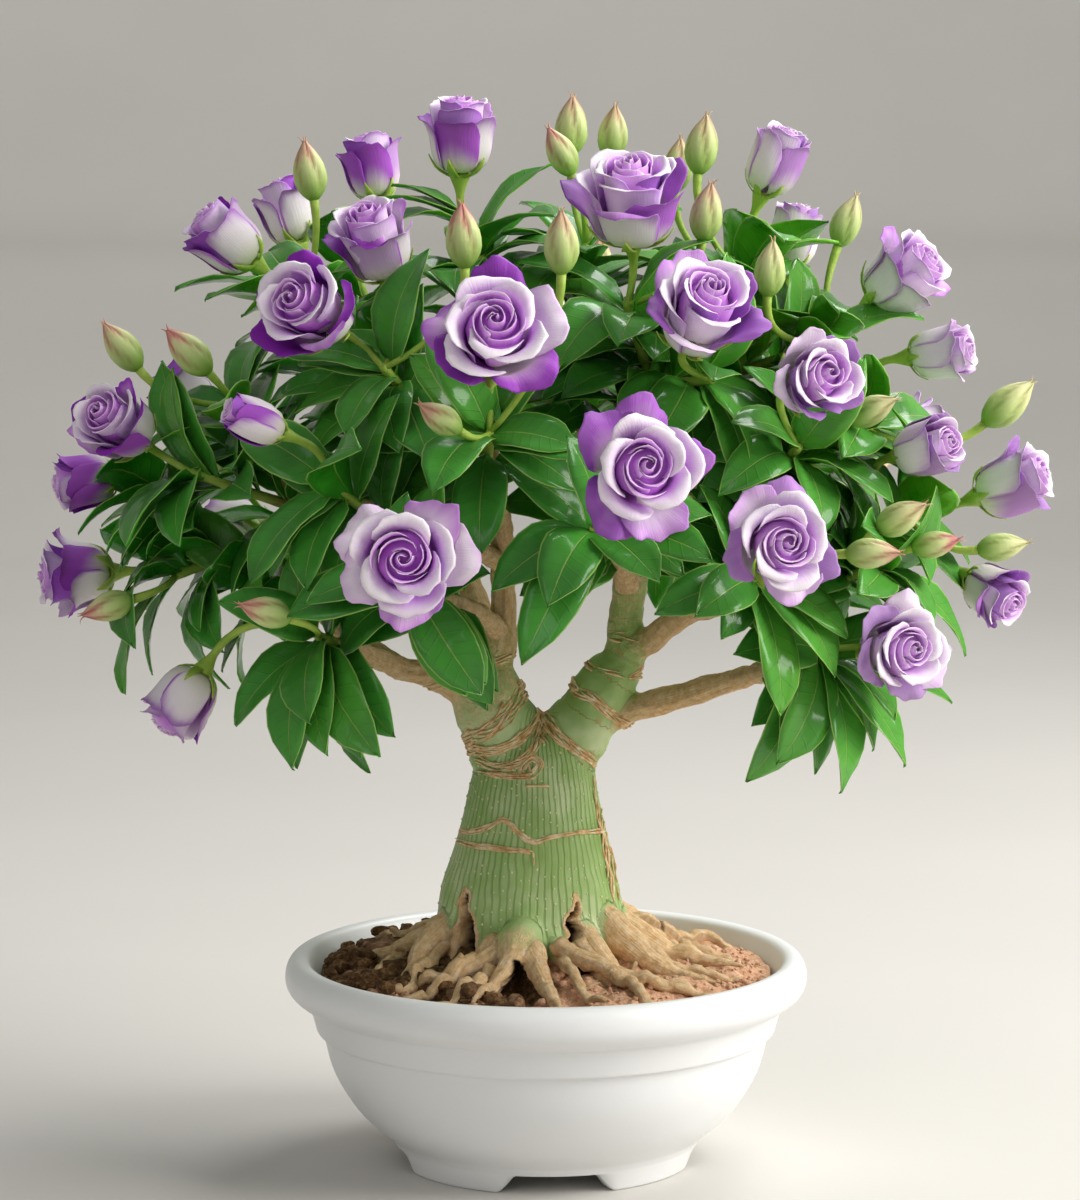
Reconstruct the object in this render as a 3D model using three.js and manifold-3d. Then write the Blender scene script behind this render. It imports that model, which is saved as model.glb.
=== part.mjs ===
// A desert rose bonsai in a white bowl. Millimetres, +Z up, seen from -Y.
// The origin is the point on the ground under the middle of the bowl.
import * as THREE from 'three';
import { mergeVertices } from 'three/addons/utils/BufferGeometryUtils.js';
import Module from 'manifold-3d';

const wasm = await Module();
wasm.setup();

// Driving dimensions of the bowl and its soil
const BOWL_SIDES = 24;
const BOWL_OUTSIDE = [
  [105, 91.4], [109, 92], [113.6, 90], [115, 86], [112.5, 77], [104.5, 69], [101.5, 59.5],
  [98, 57], [94.5, 41], [83, 23], [69.5, 12.5], [64.5, 0],
];
const FOOT_INNER_RADIUS = 57;
const UNDERSIDE_HEIGHT = 8.5;
const BOWL_INSIDE = [[0, 14], [62, 15], [82, 30], [94, 58], [99.5, 80]];
const NOTCH_TURN = 4 * Math.PI / 180;
const NOTCH_WIDTH_LOW = 51;
const NOTCH_WIDTH_HIGH = 33;
const DRAIN_RADIUS = 4.5;
const DRAIN_DISTANCE = 36;
const SOIL_RINGS = [[0.4, 93], [0.74, 88.5]];
const SOIL_EDGE_HEIGHT = 84;
const GAP = 0.3;

// Sizes shared by all shoots, leaves, buds and blooms
const CROWN_CENTRE = new THREE.Vector3(0, 0, 290);
const STEM_SIDES = 4;
const BUD_SIDES = 5;
const STEM_RADIUS = 2.3;
const PEDICEL_RADIUS = 1.5;
const CALYX_RADIUS = 4.6;
const LARGE_BLOOM = 44;
const CALYX_LENGTH = 9;
const STALK_BEND = 0.45;
const LONG_STALK = 38;
const KNEE = 5;
const WHORL_REACH = 26;
const WHORL_BARE_END = 6;
const WHORL_START = 3;
const WHORL_SPREAD = [0.85, 0.55];
const WHORL_DROOP = 0.22;
const LEAF_LENGTH = [44, 57];
const LEAF_SLENDERNESS = 0.42;
const LEAF_THICKNESS = 1.1;
const LEAF_FOLD = 0.22;
const LEAF_ARCH = 0.12;
const LEAF_SHOULDER = 0.34;
const LEAF_CLEARANCE = 0.8;
const LEAF_FREE_FROM = 0.16;
const GOLDEN_TURN = 2.39996;
const LIGHT_FROM_ABOVE = 0.9;

// Swollen stem, from the soil up to the fork: height, middle x and y, half width and half depth.
// A ring of dry bark stands proud of it between heights 141 and 144.
const CAUDEX = [
  [46, -4, 0, 14, 13], [66, -5, 0, 36, 33], [88, -6, 0, 45, 40], [104, -6.8, 0, 42, 37.5],
  [118, -7, 0, 40, 36], [140.4, -6.2, 0, 34, 31.5], [141, -6.2, 0, 35, 32.5], [144, -6, 0, 34.4, 31.9],
  [144.6, -6, 0, 33.2, 30.7], [162, -5.6, 0, 28.8, 26.5], [178, -5, 0, 25.8, 22.5], [190, -4.5, 0, 22, 17],
];
const CAUDEX_SIDES = 13;
const ROOT_SIDES = 4;

// Woody limbs, each as points of x, y, z and radius. The two thick ones come first.
const LIMBS = [
  [[-15, 0, 180, 18], [-24, -1, 203, 16.5], [-27, -1, 217, 13.5]],
  [[10, 0, 180, 17], [22, -1, 202, 14], [33, -1, 222, 10.5], [35.5, -2, 245, 7], [37, -4, 262, 7.5]],
  [[-26, -1, 211, 12], [-21, -2, 230, 8], [-18.5, -3, 246, 5.8], [-18, -18, 276, 5]],
  [[-28, -2, 207, 13], [-41, -5, 214, 9], [-52, -9, 218, 6], [-66, -22, 223, 5]],
  [[-27, -1, 213, 9], [-44, -2, 248, 6], [-62, -4, 290, 5]],
  [[36, -4, 256, 6.5], [30, -4, 282, 5], [22, -3, 310, 4.4]],
  [[38, -4, 256, 6.5], [46, -8, 282, 5.2], [58, -18, 315, 4.4]],
  [[35, -2, 226, 8.5], [48, -10, 235, 5.6], [60, -28, 246, 4.9]],
  [[20, -1, 196, 10], [40, -4, 203, 6.4], [58, -12, 208, 5.7], [83, -34, 219, 4.9]],
  [[-27, 0, 213, 9], [-34, 30, 250, 6.4], [-46, 58, 282, 5.2]],
  [[34, 0, 236, 7.5], [38, 30, 262, 5.8], [50, 60, 286, 5]],
];

// Roots over the soil, each as points of x, y, z and radius
const ROOTS = [
  [[-10, -22, 120, 11], [-11, -42, 109, 10.5], [-15, -54, 101, 6.5], [-27, -78, 83, 3.2]],
  [[-8, -38, 110, 8], [-5, -54, 103, 6.5], [3, -79, 83, 3.6]],
  [[-16, -42, 106, 7], [-30, -52, 98, 5], [-48, -57, 90, 4], [-70, -58, 81, 2.2]],
  [[2, -34, 104, 8], [20, -48, 95, 4.8], [46, -58, 89, 3.6], [68, -60, 81, 2]],
  [[-40, -12, 112, 8], [-53, -26, 100, 5.5], [-61, -50, 83, 3]],
  [[12, -26, 110, 9], [24, -40, 99, 7], [40, -54, 82, 3]],
  [[26, -18, 112, 9.5], [40, -28, 98, 7.5], [64, -41, 80, 3]],
  [[30, -2, 108, 10], [47, -6, 97, 8], [75, -13, 79, 3]],
  [[26, 20, 110, 9.5], [42, 33, 97, 7], [65, 52, 79, 2.6]],
  [[-6, 32, 108, 9.5], [-7, 50, 96, 7], [-10, 78, 79, 2.6]],
  [[-34, 20, 110, 9.5], [-49, 30, 96, 7], [-72, 43, 79, 2.6]],
  [[-40, 2, 108, 9], [-57, 0, 97, 7], [-81, -3, 79, 2.6]],
];

// Clefts at the foot of the swollen stem: foot of the cleft, its top, and half its width
const CLEFTS = [
  { foot: [-36, -31, 96], top: [-36, -24, 121], half: 6 },
  { foot: [10, -39, 96], top: [13, -33, 122], half: 2.6 },
];

// Blooms: middle of the head, the way it faces, its width and how far it is open, 0 to 1
const BLOOMS = [
  { at: [-37, -10, 451], facing: [0, -0.15, 1], width: 39, open: 0.45 },
  { at: [-79, 90, 437], facing: [-0.2, 0.1, 0.95], width: 34, open: 0.4 },
  { at: [-116, 70, 417], facing: [-0.3, 0.1, 0.9], width: 34, open: 0.4 },
  { at: [-138, -10, 407], facing: [-0.75, -0.2, 0.65], width: 37, open: 0.45 },
  { at: [-72, -60, 407], facing: [-0.25, -0.4, 0.8], width: 42, open: 0.6 },
  { at: [-97, -95, 380], facing: [-0.45, -0.8, 0.35], width: 49, open: 0.8 },
  { at: [-21, -140, 372], facing: [0.05, -0.88, 0.45], width: 56, open: 1 },
  { at: [35, -70, 424], facing: [-0.05, -0.45, 0.9], width: 54, open: 0.8 },
  { at: [99, 0, 440], facing: [0.35, -0.15, 0.9], width: 31, open: 0.15 },
  { at: [110, 40, 407], facing: [0.15, 0, 0.95], width: 28, open: 0.1 },
  { at: [63, -110, 380], facing: [0.25, -0.7, 0.65], width: 51, open: 0.8 },
  { at: [153, -20, 391], facing: [0.6, -0.35, 0.5], width: 43, open: 0.6 },
  { at: [108, -120, 353], facing: [0.4, -0.85, 0.25], width: 42, open: 0.7 },
  { at: [169, -30, 359], facing: [0.85, -0.35, 0.15], width: 32, open: 0.45 },
  { at: [37, -165, 320], facing: [0.15, -0.95, 0.2], width: 55, open: 1 },
  { at: [92, -150, 289], facing: [0.25, -0.95, 0.15], width: 50, open: 0.95 },
  { at: [158, -80, 322], facing: [0.65, -0.65, 0.25], width: 31, open: 0.3 },
  { at: [200, -30, 303], facing: [0.8, -0.3, 0.35], width: 38, open: 0.48 },
  { at: [190, -50, 258], facing: [0.6, -0.65, -0.35], width: 32, open: 0.5 },
  { at: [144, -110, 242], facing: [0.45, -0.88, 0.1], width: 45, open: 0.9 },
  { at: [-56, -165, 285], facing: [0, -0.99, 0.1], width: 55, open: 1 },
  { at: [-179, -70, 331], facing: [-0.5, -0.7, 0.45], width: 40, open: 0.6 },
  { at: [-161, 50, 336], facing: [-0.5, 0.2, 0.6], width: 34, open: 0.4 },
  { at: [-200, -10, 302], facing: [-0.8, -0.2, -0.1], width: 31, open: 0.4 },
  { at: [-206, 0, 260], facing: [-0.95, -0.2, -0.05], width: 42, open: 0.7 },
  { at: [-153, -70, 214], facing: [-0.5, -0.2, -0.75], width: 35, open: 0.45 },
  { at: [-118, -120, 336], facing: [-0.85, -0.3, 0.4], width: 21, open: 0 },
  { at: [-5, 152, 372], facing: [0, 0.85, 0.5], width: 44, open: 0.5 },
  { at: [120, 118, 352], facing: [0.55, 0.7, 0.45], width: 42, open: 0.5 },
  { at: [166, 62, 318], facing: [0.85, 0.45, 0.25], width: 38, open: 0.5 },
  { at: [-75, 162, 318], facing: [-0.35, 0.9, 0.2], width: 44, open: 0.8 },
  { at: [45, 168, 296], facing: [0.2, 0.95, 0.15], width: 44, open: 0.9 },
  { at: [-142, 112, 268], facing: [-0.7, 0.65, 0], width: 40, open: 0.5 },
];

// Leafy shoots. wood is the woody twig (x, y, z, radius) that carries the green stem, and each tip of
// the stem carries blooms (numbers in BLOOMS), buds (x, y, z, pointing, length), leaves placed one by
// one (tip x, y, z and width), and a whorl of leaves.
const SHOOTS = [
  {
    wood: [[-18, -14, 268, 4.6], [-25, -15, 318, 3.9], [-29, -19, 368, 3.2]],
    tips: [{ at: [-28, -20, 408], blooms: [1], placed: [[-70, -30, 424, 17], [2, -8, 438, 17]], whorl: 4 }],
  },
  {
    wood: [[22, -3, 306, 4.2], [14, -4, 340, 3.8], [14, -6, 368, 3.2]],
    tips: [{
      at: [17, -8, 404],
      buds: [[11, 0, 455, 0.05, 0, 1, 25], [6, -20, 444, -0.45, -0.1, 0.9, 22], [29, 10, 452, 0.1, 0, 1, 23]],
      whorl: 5,
    }],
  },
  {
    wood: [[22, -3, 306, 4.2], [34, -22, 328, 3.8], [43, -36, 342, 3.3]],
    tips: [
      { at: [34, -56, 380], blooms: [8], buds: [[67, -60, 419, 0.15, 0, 1, 24]], whorl: 4 },
      { at: [68, -76, 350], blooms: [11], whorl: 4 },
    ],
  },
  {
    wood: [[-18, -17, 274, 4.8], [-21, -50, 302, 4.2], [-24, -78, 315, 3.5]],
    tips: [{
      at: [-23, -106, 330],
      blooms: [7],
      buds: [[-43, -130, 338, -0.75, -0.4, 0.55, 21], [6, -120, 408, 0, -0.1, 1, 25]],
      placed: [[12, -122, 325, 21], [14, -112, 306, 20]],
      whorl: 4,
    }],
  },
  {
    wood: [[-18, -16, 272, 4.6], [-34, -42, 309, 3.9], [-53, -64, 337, 3.2]],
    tips: [{ at: [-67, -81, 355], blooms: [6, 5], buds: [[-34, -90, 410, -0.05, -0.1, 1, 26]], whorl: 5 }],
  },
  {
    wood: [[-62, -4, 286, 4.8], [-80, -4, 326, 4.2], [-92, -3, 352, 3.4]],
    tips: [{ at: [-105, -2, 381], blooms: [4], buds: [[-101, -20, 436, -0.15, 0, 1, 25]], whorl: 5 }],
  },
  {
    wood: [[-44, -3, 249, 5.4], [-75, -18, 272, 4.6], [-102, -33, 290, 3.8]],
    tips: [
      {
        at: [-131, -42, 337],
        buds: [[-150, -60, 361, -0.7, -0.1, 0.75, 25], [-180, -40, 362, -0.6, 0, 0.8, 24]],
        whorl: 4,
      },
      { at: [-149, -54, 309], blooms: [22], placed: [[-186, -54, 275, 19]], whorl: 4 },
    ],
  },
  {
    wood: [[-64, -20, 222, 5], [-100, -18, 247, 4.4], [-132, -15, 268, 3.6]],
    tips: [
      { at: [-166, -7, 297], blooms: [24], whorl: 4 },
      {
        at: [-160, -23, 262],
        blooms: [25],
        buds: [[-185, -60, 253, -0.85, -0.2, -0.25, 22]],
        placed: [[-179, -58, 216, 20]],
        whorl: 4,
      },
    ],
  },
  {
    wood: [[-65, -20, 222.5, 5], [-79, -46, 232, 4.4], [-86, -68, 238, 3.8]],
    tips: [{
      at: [-94, -94, 245],
      blooms: [26],
      buds: [[-114, -125, 259, -0.85, -0.35, 0.3, 22]],
      placed: [[-104, -112, 192, 21], [-68, -122, 199, 23]],
      whorl: 4,
    }],
  },
  {
    wood: [[-18, -14, 266, 4.6], [-36, -52, 280, 4], [-63, -88, 290, 3.2]],
    tips: [{ at: [-87, -106, 308], blooms: [27], placed: [[-120, -124, 270, 20]], whorl: 4 }],
  },
  {
    wood: [[-20, -3, 236, 5.2], [-32, -44, 250, 4.2], [-47, -92, 262, 3.2]],
    tips: [{ at: [-54, -122, 268], blooms: [21], placed: [[-26, -134, 226, 21]], whorl: 4 }],
  },
  {
    wood: [[36, -4, 256, 6], [32, -42, 272, 4.2], [23, -87, 284, 3.3]],
    tips: [{
      at: [19, -116, 292],
      blooms: [15],
      placed: [[-10, -146, 240, 21], [-22, -136, 264, 20], [45, -146, 273, 20]],
      whorl: 3,
    }],
  },
  {
    wood: [[60, -28, 245.5, 4.6], [72, -54, 255, 4.2], [78, -74, 261, 3.5]],
    tips: [{
      at: [85, -104, 270],
      blooms: [16],
      buds: [[132, -128, 283, 0.9, -0.3, 0.05, 22]],
      placed: [[95, -124, 216, 19], [44, -124, 258, 18]],
      whorl: 3,
    }],
  },
  {
    wood: [[82, -33, 218.6, 4.7], [97, -52, 226, 4.4], [104, -62, 230, 3.8]],
    tips: [{
      at: [114, -82, 238],
      blooms: [20],
      placed: [[83, -94, 184, 22], [122, -98, 180, 20], [150, -84, 189, 20], [171, -66, 213, 15]],
      whorl: 2,
    }],
  },
  {
    wood: [[58, -26, 244.5, 4.4], [90, -40, 256, 4], [114, -53, 263, 3.4]],
    tips: [
      {
        at: [138, -82, 271],
        blooms: [19],
        buds: [[145, -110, 296, 0.75, -0.3, 0.45, 23], [161, -90, 283, 0.9, -0.2, 0.2, 20]],
        placed: [[176, -72, 234, 17]],
        whorl: 3,
      },
      { at: [150, -47, 293], blooms: [18, 17], buds: [[192, -62, 279, 0.95, -0.1, 0.15, 21]], whorl: 4 },
    ],
  },
  {
    wood: [[46, -8, 280, 5], [70, -22, 293, 4.2], [91, -37, 303, 3.4]],
    tips: [
      {
        at: [136, -42, 328],
        blooms: [14],
        buds: [[200, -10, 336, 0.75, 0, 0.65, 27], [135, -82, 338, 0.8, -0.3, 0.4, 22]],
        whorl: 4,
      },
      { at: [104, -84, 322], blooms: [13], whorl: 4 },
    ],
  },
  {
    wood: [[57, -17, 311, 4.3], [65, -17, 328, 3.8], [74, -18, 343, 3.3]],
    tips: [
      {
        at: [122, -34, 364],
        blooms: [12],
        buds: [[131, 10, 414, 0.35, 0, 0.95, 23], [93, -70, 396, 0.1, 0, 1, 23]],
        whorl: 4,
      },
      { at: [84, -12, 390], blooms: [9], buds: [[67, -10, 447, 0.15, 0, 1, 25]], whorl: 5 },
    ],
  },
  {
    wood: [[-45, 56, 280, 4.6], [-82, 59, 284, 4], [-106, 61, 285, 3.4]],
    tips: [
      { at: [-137, 47, 311], blooms: [23], whorl: 4 },
      { at: [-120, 90, 268], blooms: [33], buds: [[-150, 88, 306, -0.6, 0.2, 0.8, 22]], whorl: 4 },
    ],
  },
  {
    wood: [[-46, 57, 281, 4.8], [-60, 62, 320, 4], [-73, 64, 355, 3.3]],
    tips: [{ at: [-86, 66, 391], blooms: [2, 3], whorl: 4 }],
  },
  {
    wood: [[57, -17, 311, 4.3], [65, 4, 336, 3.6], [72, 17, 355, 3.2]],
    tips: [{ at: [87, 34, 384], blooms: [10], buds: [[58, 30, 438, 0.1, 0, 1, 23]], whorl: 4 }],
  },
  {
    wood: [[38, 29, 261, 5], [16, 60, 298, 4.2], [4, 84, 326, 3.4]],
    tips: [{
      at: [-4, 112, 352],
      blooms: [28],
      buds: [[25, 130, 392, 0.1, 0.2, 1, 24]],
      whorl: 4,
    }],
  },
  {
    wood: [[50, 59, 285.5, 4.8], [75, 66, 297, 4], [92, 70, 303, 3.4]],
    tips: [
      { at: [104, 86, 334], blooms: [29], whorl: 4 },
      { at: [134, 60, 303], blooms: [30], buds: [[150, 106, 296, 0.7, 0.5, 0.3, 22]], whorl: 4 },
    ],
  },
  {
    wood: [[-45, 57, 281, 4.6], [-51, 82, 288, 4], [-54, 98, 291, 3.4]],
    tips: [{ at: [-60, 126, 298], blooms: [31], buds: [[-104, 140, 340, -0.4, 0.4, 0.8, 23]], whorl: 4 }],
  },
  {
    wood: [[50, 59, 285, 4.6], [44, 84, 279, 4], [41, 102, 276, 3.4]],
    tips: [{
      at: [38, 130, 276],
      blooms: [32],
      buds: [[92, 142, 262, 0.75, 0.55, -0.1, 22]],
      whorl: 4,
    }],
  },
];

const vector = (list) => new THREE.Vector3(list[0], list[1], list[2]);
const along = (from, way, distance) => from.clone().addScaledVector(way, distance);

// A repeatable draw from 0 to 1 for three whole numbers
function draw(first, second, third) {
  const wave = Math.sin(first * 12.9898 + second * 78.233 + third * 37.719) * 43758.5453;
  return wave - Math.floor(wave);
}

function toSolid(geometry) {
  geometry.deleteAttribute('normal');
  geometry.deleteAttribute('uv');
  const merged = mergeVertices(geometry, 1e-4);
  return new wasm.Manifold(new wasm.Mesh({
    numProp: 3,
    vertProperties: new Float32Array(merged.attributes.position.array),
    triVerts: new Uint32Array(merged.index.array),
  }));
}

function toGeometry(solid) {
  const { vertProperties, triVerts } = solid.getMesh();
  const geometry = new THREE.BufferGeometry();
  geometry.setAttribute('position', new THREE.BufferAttribute(vertProperties, 3));
  geometry.setIndex(new THREE.BufferAttribute(triVerts, 1));
  geometry.computeVertexNormals();
  return geometry;
}

function skin(points, faces) {
  const geometry = new THREE.BufferGeometry().setFromPoints(points);
  geometry.setIndex(faces.flat());
  return toSolid(geometry);
}

const joined = (solids) => solids.reduce((whole, solid) => whole.add(solid));

function largestBody(solid) {
  return solid.decompose().reduce((best, body) => (body.volume() > best.volume() ? body : best));
}

// Directions across a way, the same for the same way
function across(way) {
  const reference = Math.abs(way.z) > 0.9 ? new THREE.Vector3(1, 0, 0) : new THREE.Vector3(0, 0, 1);
  const side = new THREE.Vector3().crossVectors(way, reference).normalize();
  return [side, new THREE.Vector3().crossVectors(way, side)];
}

function ring(centre, side, other, wide, deep, sides, turn = 0) {
  return Array.from({ length: sides }, (unused, index) => {
    const angle = turn + index / sides * 2 * Math.PI;
    return along(along(centre, side, wide * Math.cos(angle)), other, deep * Math.sin(angle));
  });
}

// A closed skin through rings of equal count, in the order of travel. A ring of one point is a tip.
function loft(rings) {
  const points = rings.flat();
  const sides = rings[0].length;
  const faces = [];
  for (let cap = 1; cap < sides - 1; cap += 1) faces.push([0, cap + 1, cap]);
  for (let row = 0; row < rings.length - 1; row += 1) {
    const start = row * sides;
    for (let side = 0; side < sides; side += 1) {
      const next = (side + 1) % sides;
      if (rings[row + 1].length === 1) {
        faces.push([start + side, start + next, start + sides]);
      } else {
        faces.push([start + side, start + next, start + sides + side]);
        faces.push([start + next, start + sides + next, start + sides + side]);
      }
    }
  }
  if (rings.at(-1).length > 1) {
    const last = (rings.length - 1) * sides;
    for (let cap = 1; cap < sides - 1; cap += 1) faces.push([last, last + cap, last + cap + 1]);
  }
  return skin(points, faces);
}

// Rings along a path of x, y, z and radius, turned as little as the path allows
function pathRings(path, sides, extra = 0) {
  const centres = path.map(vector);
  const radii = path.map((point) => point[3] + extra);
  const ways = centres.map((centre, index) => {
    const before = centres[Math.max(index - 1, 0)];
    const after = centres[Math.min(index + 1, centres.length - 1)];
    return after.clone().sub(before).normalize();
  });
  centres[0].addScaledVector(ways[0], -extra);
  centres.at(-1).addScaledVector(ways.at(-1), extra);
  let [side] = across(ways[0]);
  return centres.map((centre, index) => {
    side = along(side, ways[index], -side.dot(ways[index])).normalize();
    const other = new THREE.Vector3().crossVectors(ways[index], side);
    return ring(centre, side, other, radii[index], radii[index], sides);
  });
}

// What is cut from the foot ring between two feet
function notchCutter(turn) {
  const shape = new THREE.Shape([
    new THREE.Vector2(-NOTCH_WIDTH_LOW / 2 - 1, -1),
    new THREE.Vector2(NOTCH_WIDTH_LOW / 2 + 1, -1),
    new THREE.Vector2(NOTCH_WIDTH_HIGH / 2, UNDERSIDE_HEIGHT),
    new THREE.Vector2(-NOTCH_WIDTH_HIGH / 2, UNDERSIDE_HEIGHT),
  ]);
  const cutter = new THREE.ExtrudeGeometry(shape, { depth: 40, bevelEnabled: false });
  cutter.rotateX(Math.PI / 2);
  cutter.translate(0, -40, 0);
  cutter.rotateZ(turn);
  return toSolid(cutter);
}

// The bowl with its rolled rim, stepped collar, notched foot ring and drain holes
function bowl() {
  const profile = [
    [0, UNDERSIDE_HEIGHT], [FOOT_INNER_RADIUS - 2, UNDERSIDE_HEIGHT], [FOOT_INNER_RADIUS, 0],
    ...BOWL_OUTSIDE.toReversed(), ...BOWL_INSIDE.toReversed(),
  ].map(([radius, height]) => new THREE.Vector2(radius, height));
  const wall = new THREE.LatheGeometry(profile, BOWL_SIDES);
  wall.rotateX(Math.PI / 2);
  let solid = toSolid(wall);
  for (let quarter = 0; quarter < 4; quarter += 1) {
    solid = solid.subtract(notchCutter(NOTCH_TURN + quarter * Math.PI / 2));
    const drain = new THREE.CylinderGeometry(DRAIN_RADIUS, DRAIN_RADIUS, 20, 6);
    drain.rotateX(Math.PI / 2);
    drain.translate(DRAIN_DISTANCE, 0, UNDERSIDE_HEIGHT);
    drain.rotateZ(quarter * Math.PI / 2);
    solid = solid.subtract(toSolid(drain));
  }
  return solid;
}

function caudex(extra) {
  const x = new THREE.Vector3(1, 0, 0);
  const y = new THREE.Vector3(0, 1, 0);
  return loft(CAUDEX.map(([height, middleX, middleY, wide, deep]) => (
    ring(new THREE.Vector3(middleX, middleY, height), x, y, wide + extra, deep + extra, CAUDEX_SIDES)
  )));
}

function cleft({ foot, top, half }) {
  const outward = new THREE.Vector3(foot[0] + 6, foot[1], 0).normalize();
  const side = new THREE.Vector3(-outward.y, outward.x, 0);
  const low = vector(foot);
  return loft([
    [along(low, side, -half), along(low, outward, -8), along(low, side, half), along(low, outward, 14)],
    [along(vector(top), outward, 4)],
  ]);
}

// The trunk: swollen stem, limbs, twigs and roots, grown as one
function trunk(extra = 0) {
  const roots = ROOTS.map((path) => loft(pathRings(path, ROOT_SIDES, extra)));
  if (extra > 0) return joined([caudex(extra), ...roots]);
  const limbs = LIMBS.map((path, index) => loft(pathRings(path, index < 2 ? 9 : 6)));
  const twigs = SHOOTS.map(({ wood }) => loft(pathRings(wood, 4)));
  const whole = joined([caudex(0), ...limbs, ...twigs, ...roots]);
  return largestBody(CLEFTS.reduce((solid, place) => solid.subtract(cleft(place)), whole));
}

// Soil that fills the bowl up to the trunk, rough on top
function soil() {
  const top = SOIL_RINGS.map(([share, height]) => [share * BOWL_INSIDE.at(-1)[0], height]);
  const wall = [...BOWL_INSIDE.slice(1), [BOWL_INSIDE.at(-1)[0] + 0.9, SOIL_EDGE_HEIGHT]];
  const profile = [
    [0, BOWL_INSIDE[0][1] + GAP],
    ...wall.map(([radius, height]) => [radius - GAP, height + GAP]),
    ...top.toReversed(),
    [0, SOIL_RINGS[0][1]],
  ].map(([radius, height]) => new THREE.Vector2(radius, height));
  const body = new THREE.LatheGeometry(profile, BOWL_SIDES);
  body.rotateX(Math.PI / 2);
  body.deleteAttribute('normal');
  body.deleteAttribute('uv');
  const merged = mergeVertices(body, 1e-4);
  const places = merged.attributes.position;
  for (let index = 0; index < places.count; index += 1) {
    const height = places.getZ(index);
    const rough = places.getX(index) < 20 ? 2 : 1;
    if (height > SOIL_EDGE_HEIGHT + 1) places.setZ(index, height + rough * (draw(index, 1, 1) - 0.5) * 2);
  }
  return largestBody(toSolid(merged).subtract(trunk(GAP + 0.05)));
}

// A bloom stands on its axis with its flat foot at height 0, before it is placed
function bloomHeight({ width, open }) {
  return width * (1.05 - 0.42 * open + (open === 0 ? 0.2 : 0));
}

// One petal, a blade with a sharp outline that is thickest in its middle. low and high are the
// radius and height of its belly and its rim, and skew sets one edge over its neighbour's.
function petal(turn, half, low, high, { thick, skew, point }) {
  const place = (angle, radius, height) => new THREE.Vector3(
    radius * Math.cos(turn + angle),
    radius * Math.sin(turn + angle),
    height,
  );
  const inward = Math.atan2(high[1] - low[1], high[0] - low[0]) + Math.PI / 2;
  const points = [
    place(0, 1.5, 1.2),
    place(-half, low[0] - skew, low[1]),
    place(0, low[0] + 0.4, low[1]),
    place(half, low[0] + skew, low[1] + 0.5),
    place(-half * 0.82, high[0] - skew - point * 0.5, high[1] - point),
    place(0, high[0] + point * 0.5, high[1] + point * 0.3),
    place(half * 0.82, high[0] + skew - point * 0.5, high[1] - point),
    place(0, low[0] + 0.4 + thick * Math.cos(inward), low[1] + thick * Math.sin(inward)),
  ];
  const outer = [[0, 2, 1], [0, 3, 2], [1, 2, 5], [1, 5, 4], [2, 3, 6], [2, 6, 5]];
  const inner = [[0, 1, 7], [0, 7, 3], [1, 5, 7], [1, 4, 5], [7, 6, 3], [7, 5, 6]];
  return skin(points, [...outer, ...inner]);
}

// The rolled heart of a bloom, whose rim climbs once round
function heart(radius, height, sides, turn) {
  const x = new THREE.Vector3(1, 0, 0);
  const y = new THREE.Vector3(0, 1, 0);
  const rings = [[0.62, 0], [1, 0.5], [0.86, 1]].map(([share, level]) => (
    ring(new THREE.Vector3(0, 0, level * height), x, y, share * radius, share * radius, sides, turn)
  ));
  rings[2].forEach((point, index) => point.setZ(height - 2.4 * index / sides));
  return loft([...rings, [new THREE.Vector3(0.1 * radius, 0, height - 3.4)]]);
}

function bloomSolid(bloom, index) {
  const { width, open } = bloom;
  const radius = width / 2;
  const height = bloomHeight(bloom);
  const count = width > LARGE_BLOOM ? 5 : 4;
  const start = draw(index, 3, 1) * 2 * Math.PI;
  const parts = [heart(radius * (0.46 - 0.04 * open), height * 0.97, count, start + Math.PI / count)];
  const layer = (petals, half, low, high, look) => {
    for (let place = 0; place < petals; place += 1) {
      parts.push(petal(start + place / petals * 2 * Math.PI + look.turn, half, low, high, look));
    }
  };
  if (open > 0.5) {
    const belly = [radius * (0.62 - 0.02 * open), height * 0.44];
    const rim = [radius * (0.56 + 0.12 * open), height * (0.97 - 0.05 * open)];
    layer(count - 2, 0.86, belly, rim, { turn: 0.6, thick: 1.5, skew: 0.6, point: 1.6 });
  }
  const belly = [radius * (0.84 - 0.14 * open), height * (0.4 - 0.12 * open)];
  const rim = [radius * (0.8 + 0.14 * open), height * (0.98 - 0.34 * open)];
  layer(count, 3 / count, belly, rim, { turn: 0, thick: 1.5, skew: 0.8, point: 2.2 });
  return joined(parts);
}

function placedBloom(bloom, index) {
  const facing = vector(bloom.facing).normalize();
  const standing = new THREE.Quaternion().setFromUnitVectors(new THREE.Vector3(0, 0, 1), facing);
  const foot = along(vector(bloom.at), facing, -bloomHeight(bloom) / 2);
  const placing = new THREE.Matrix4().compose(foot, standing, new THREE.Vector3(1, 1, 1));
  return bloomSolid(bloom, index).transform(placing.elements);
}

// The bent stalk from a stem's tip to a foot that it meets head on
function stalk(tip, foot, facing) {
  const bend = along(foot, facing, -STALK_BEND * foot.distanceTo(tip));
  return new THREE.QuadraticBezierCurve3(tip, bend, foot);
}

// The start of a stalk, with a point half way where it is long enough to show its bend
function stalkPoints(curve, radius) {
  const shares = curve.v0.distanceTo(curve.v2) > LONG_STALK ? [0, 0.5] : [0];
  return shares.map((share) => [...curve.getPoint(share), radius]);
}

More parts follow.
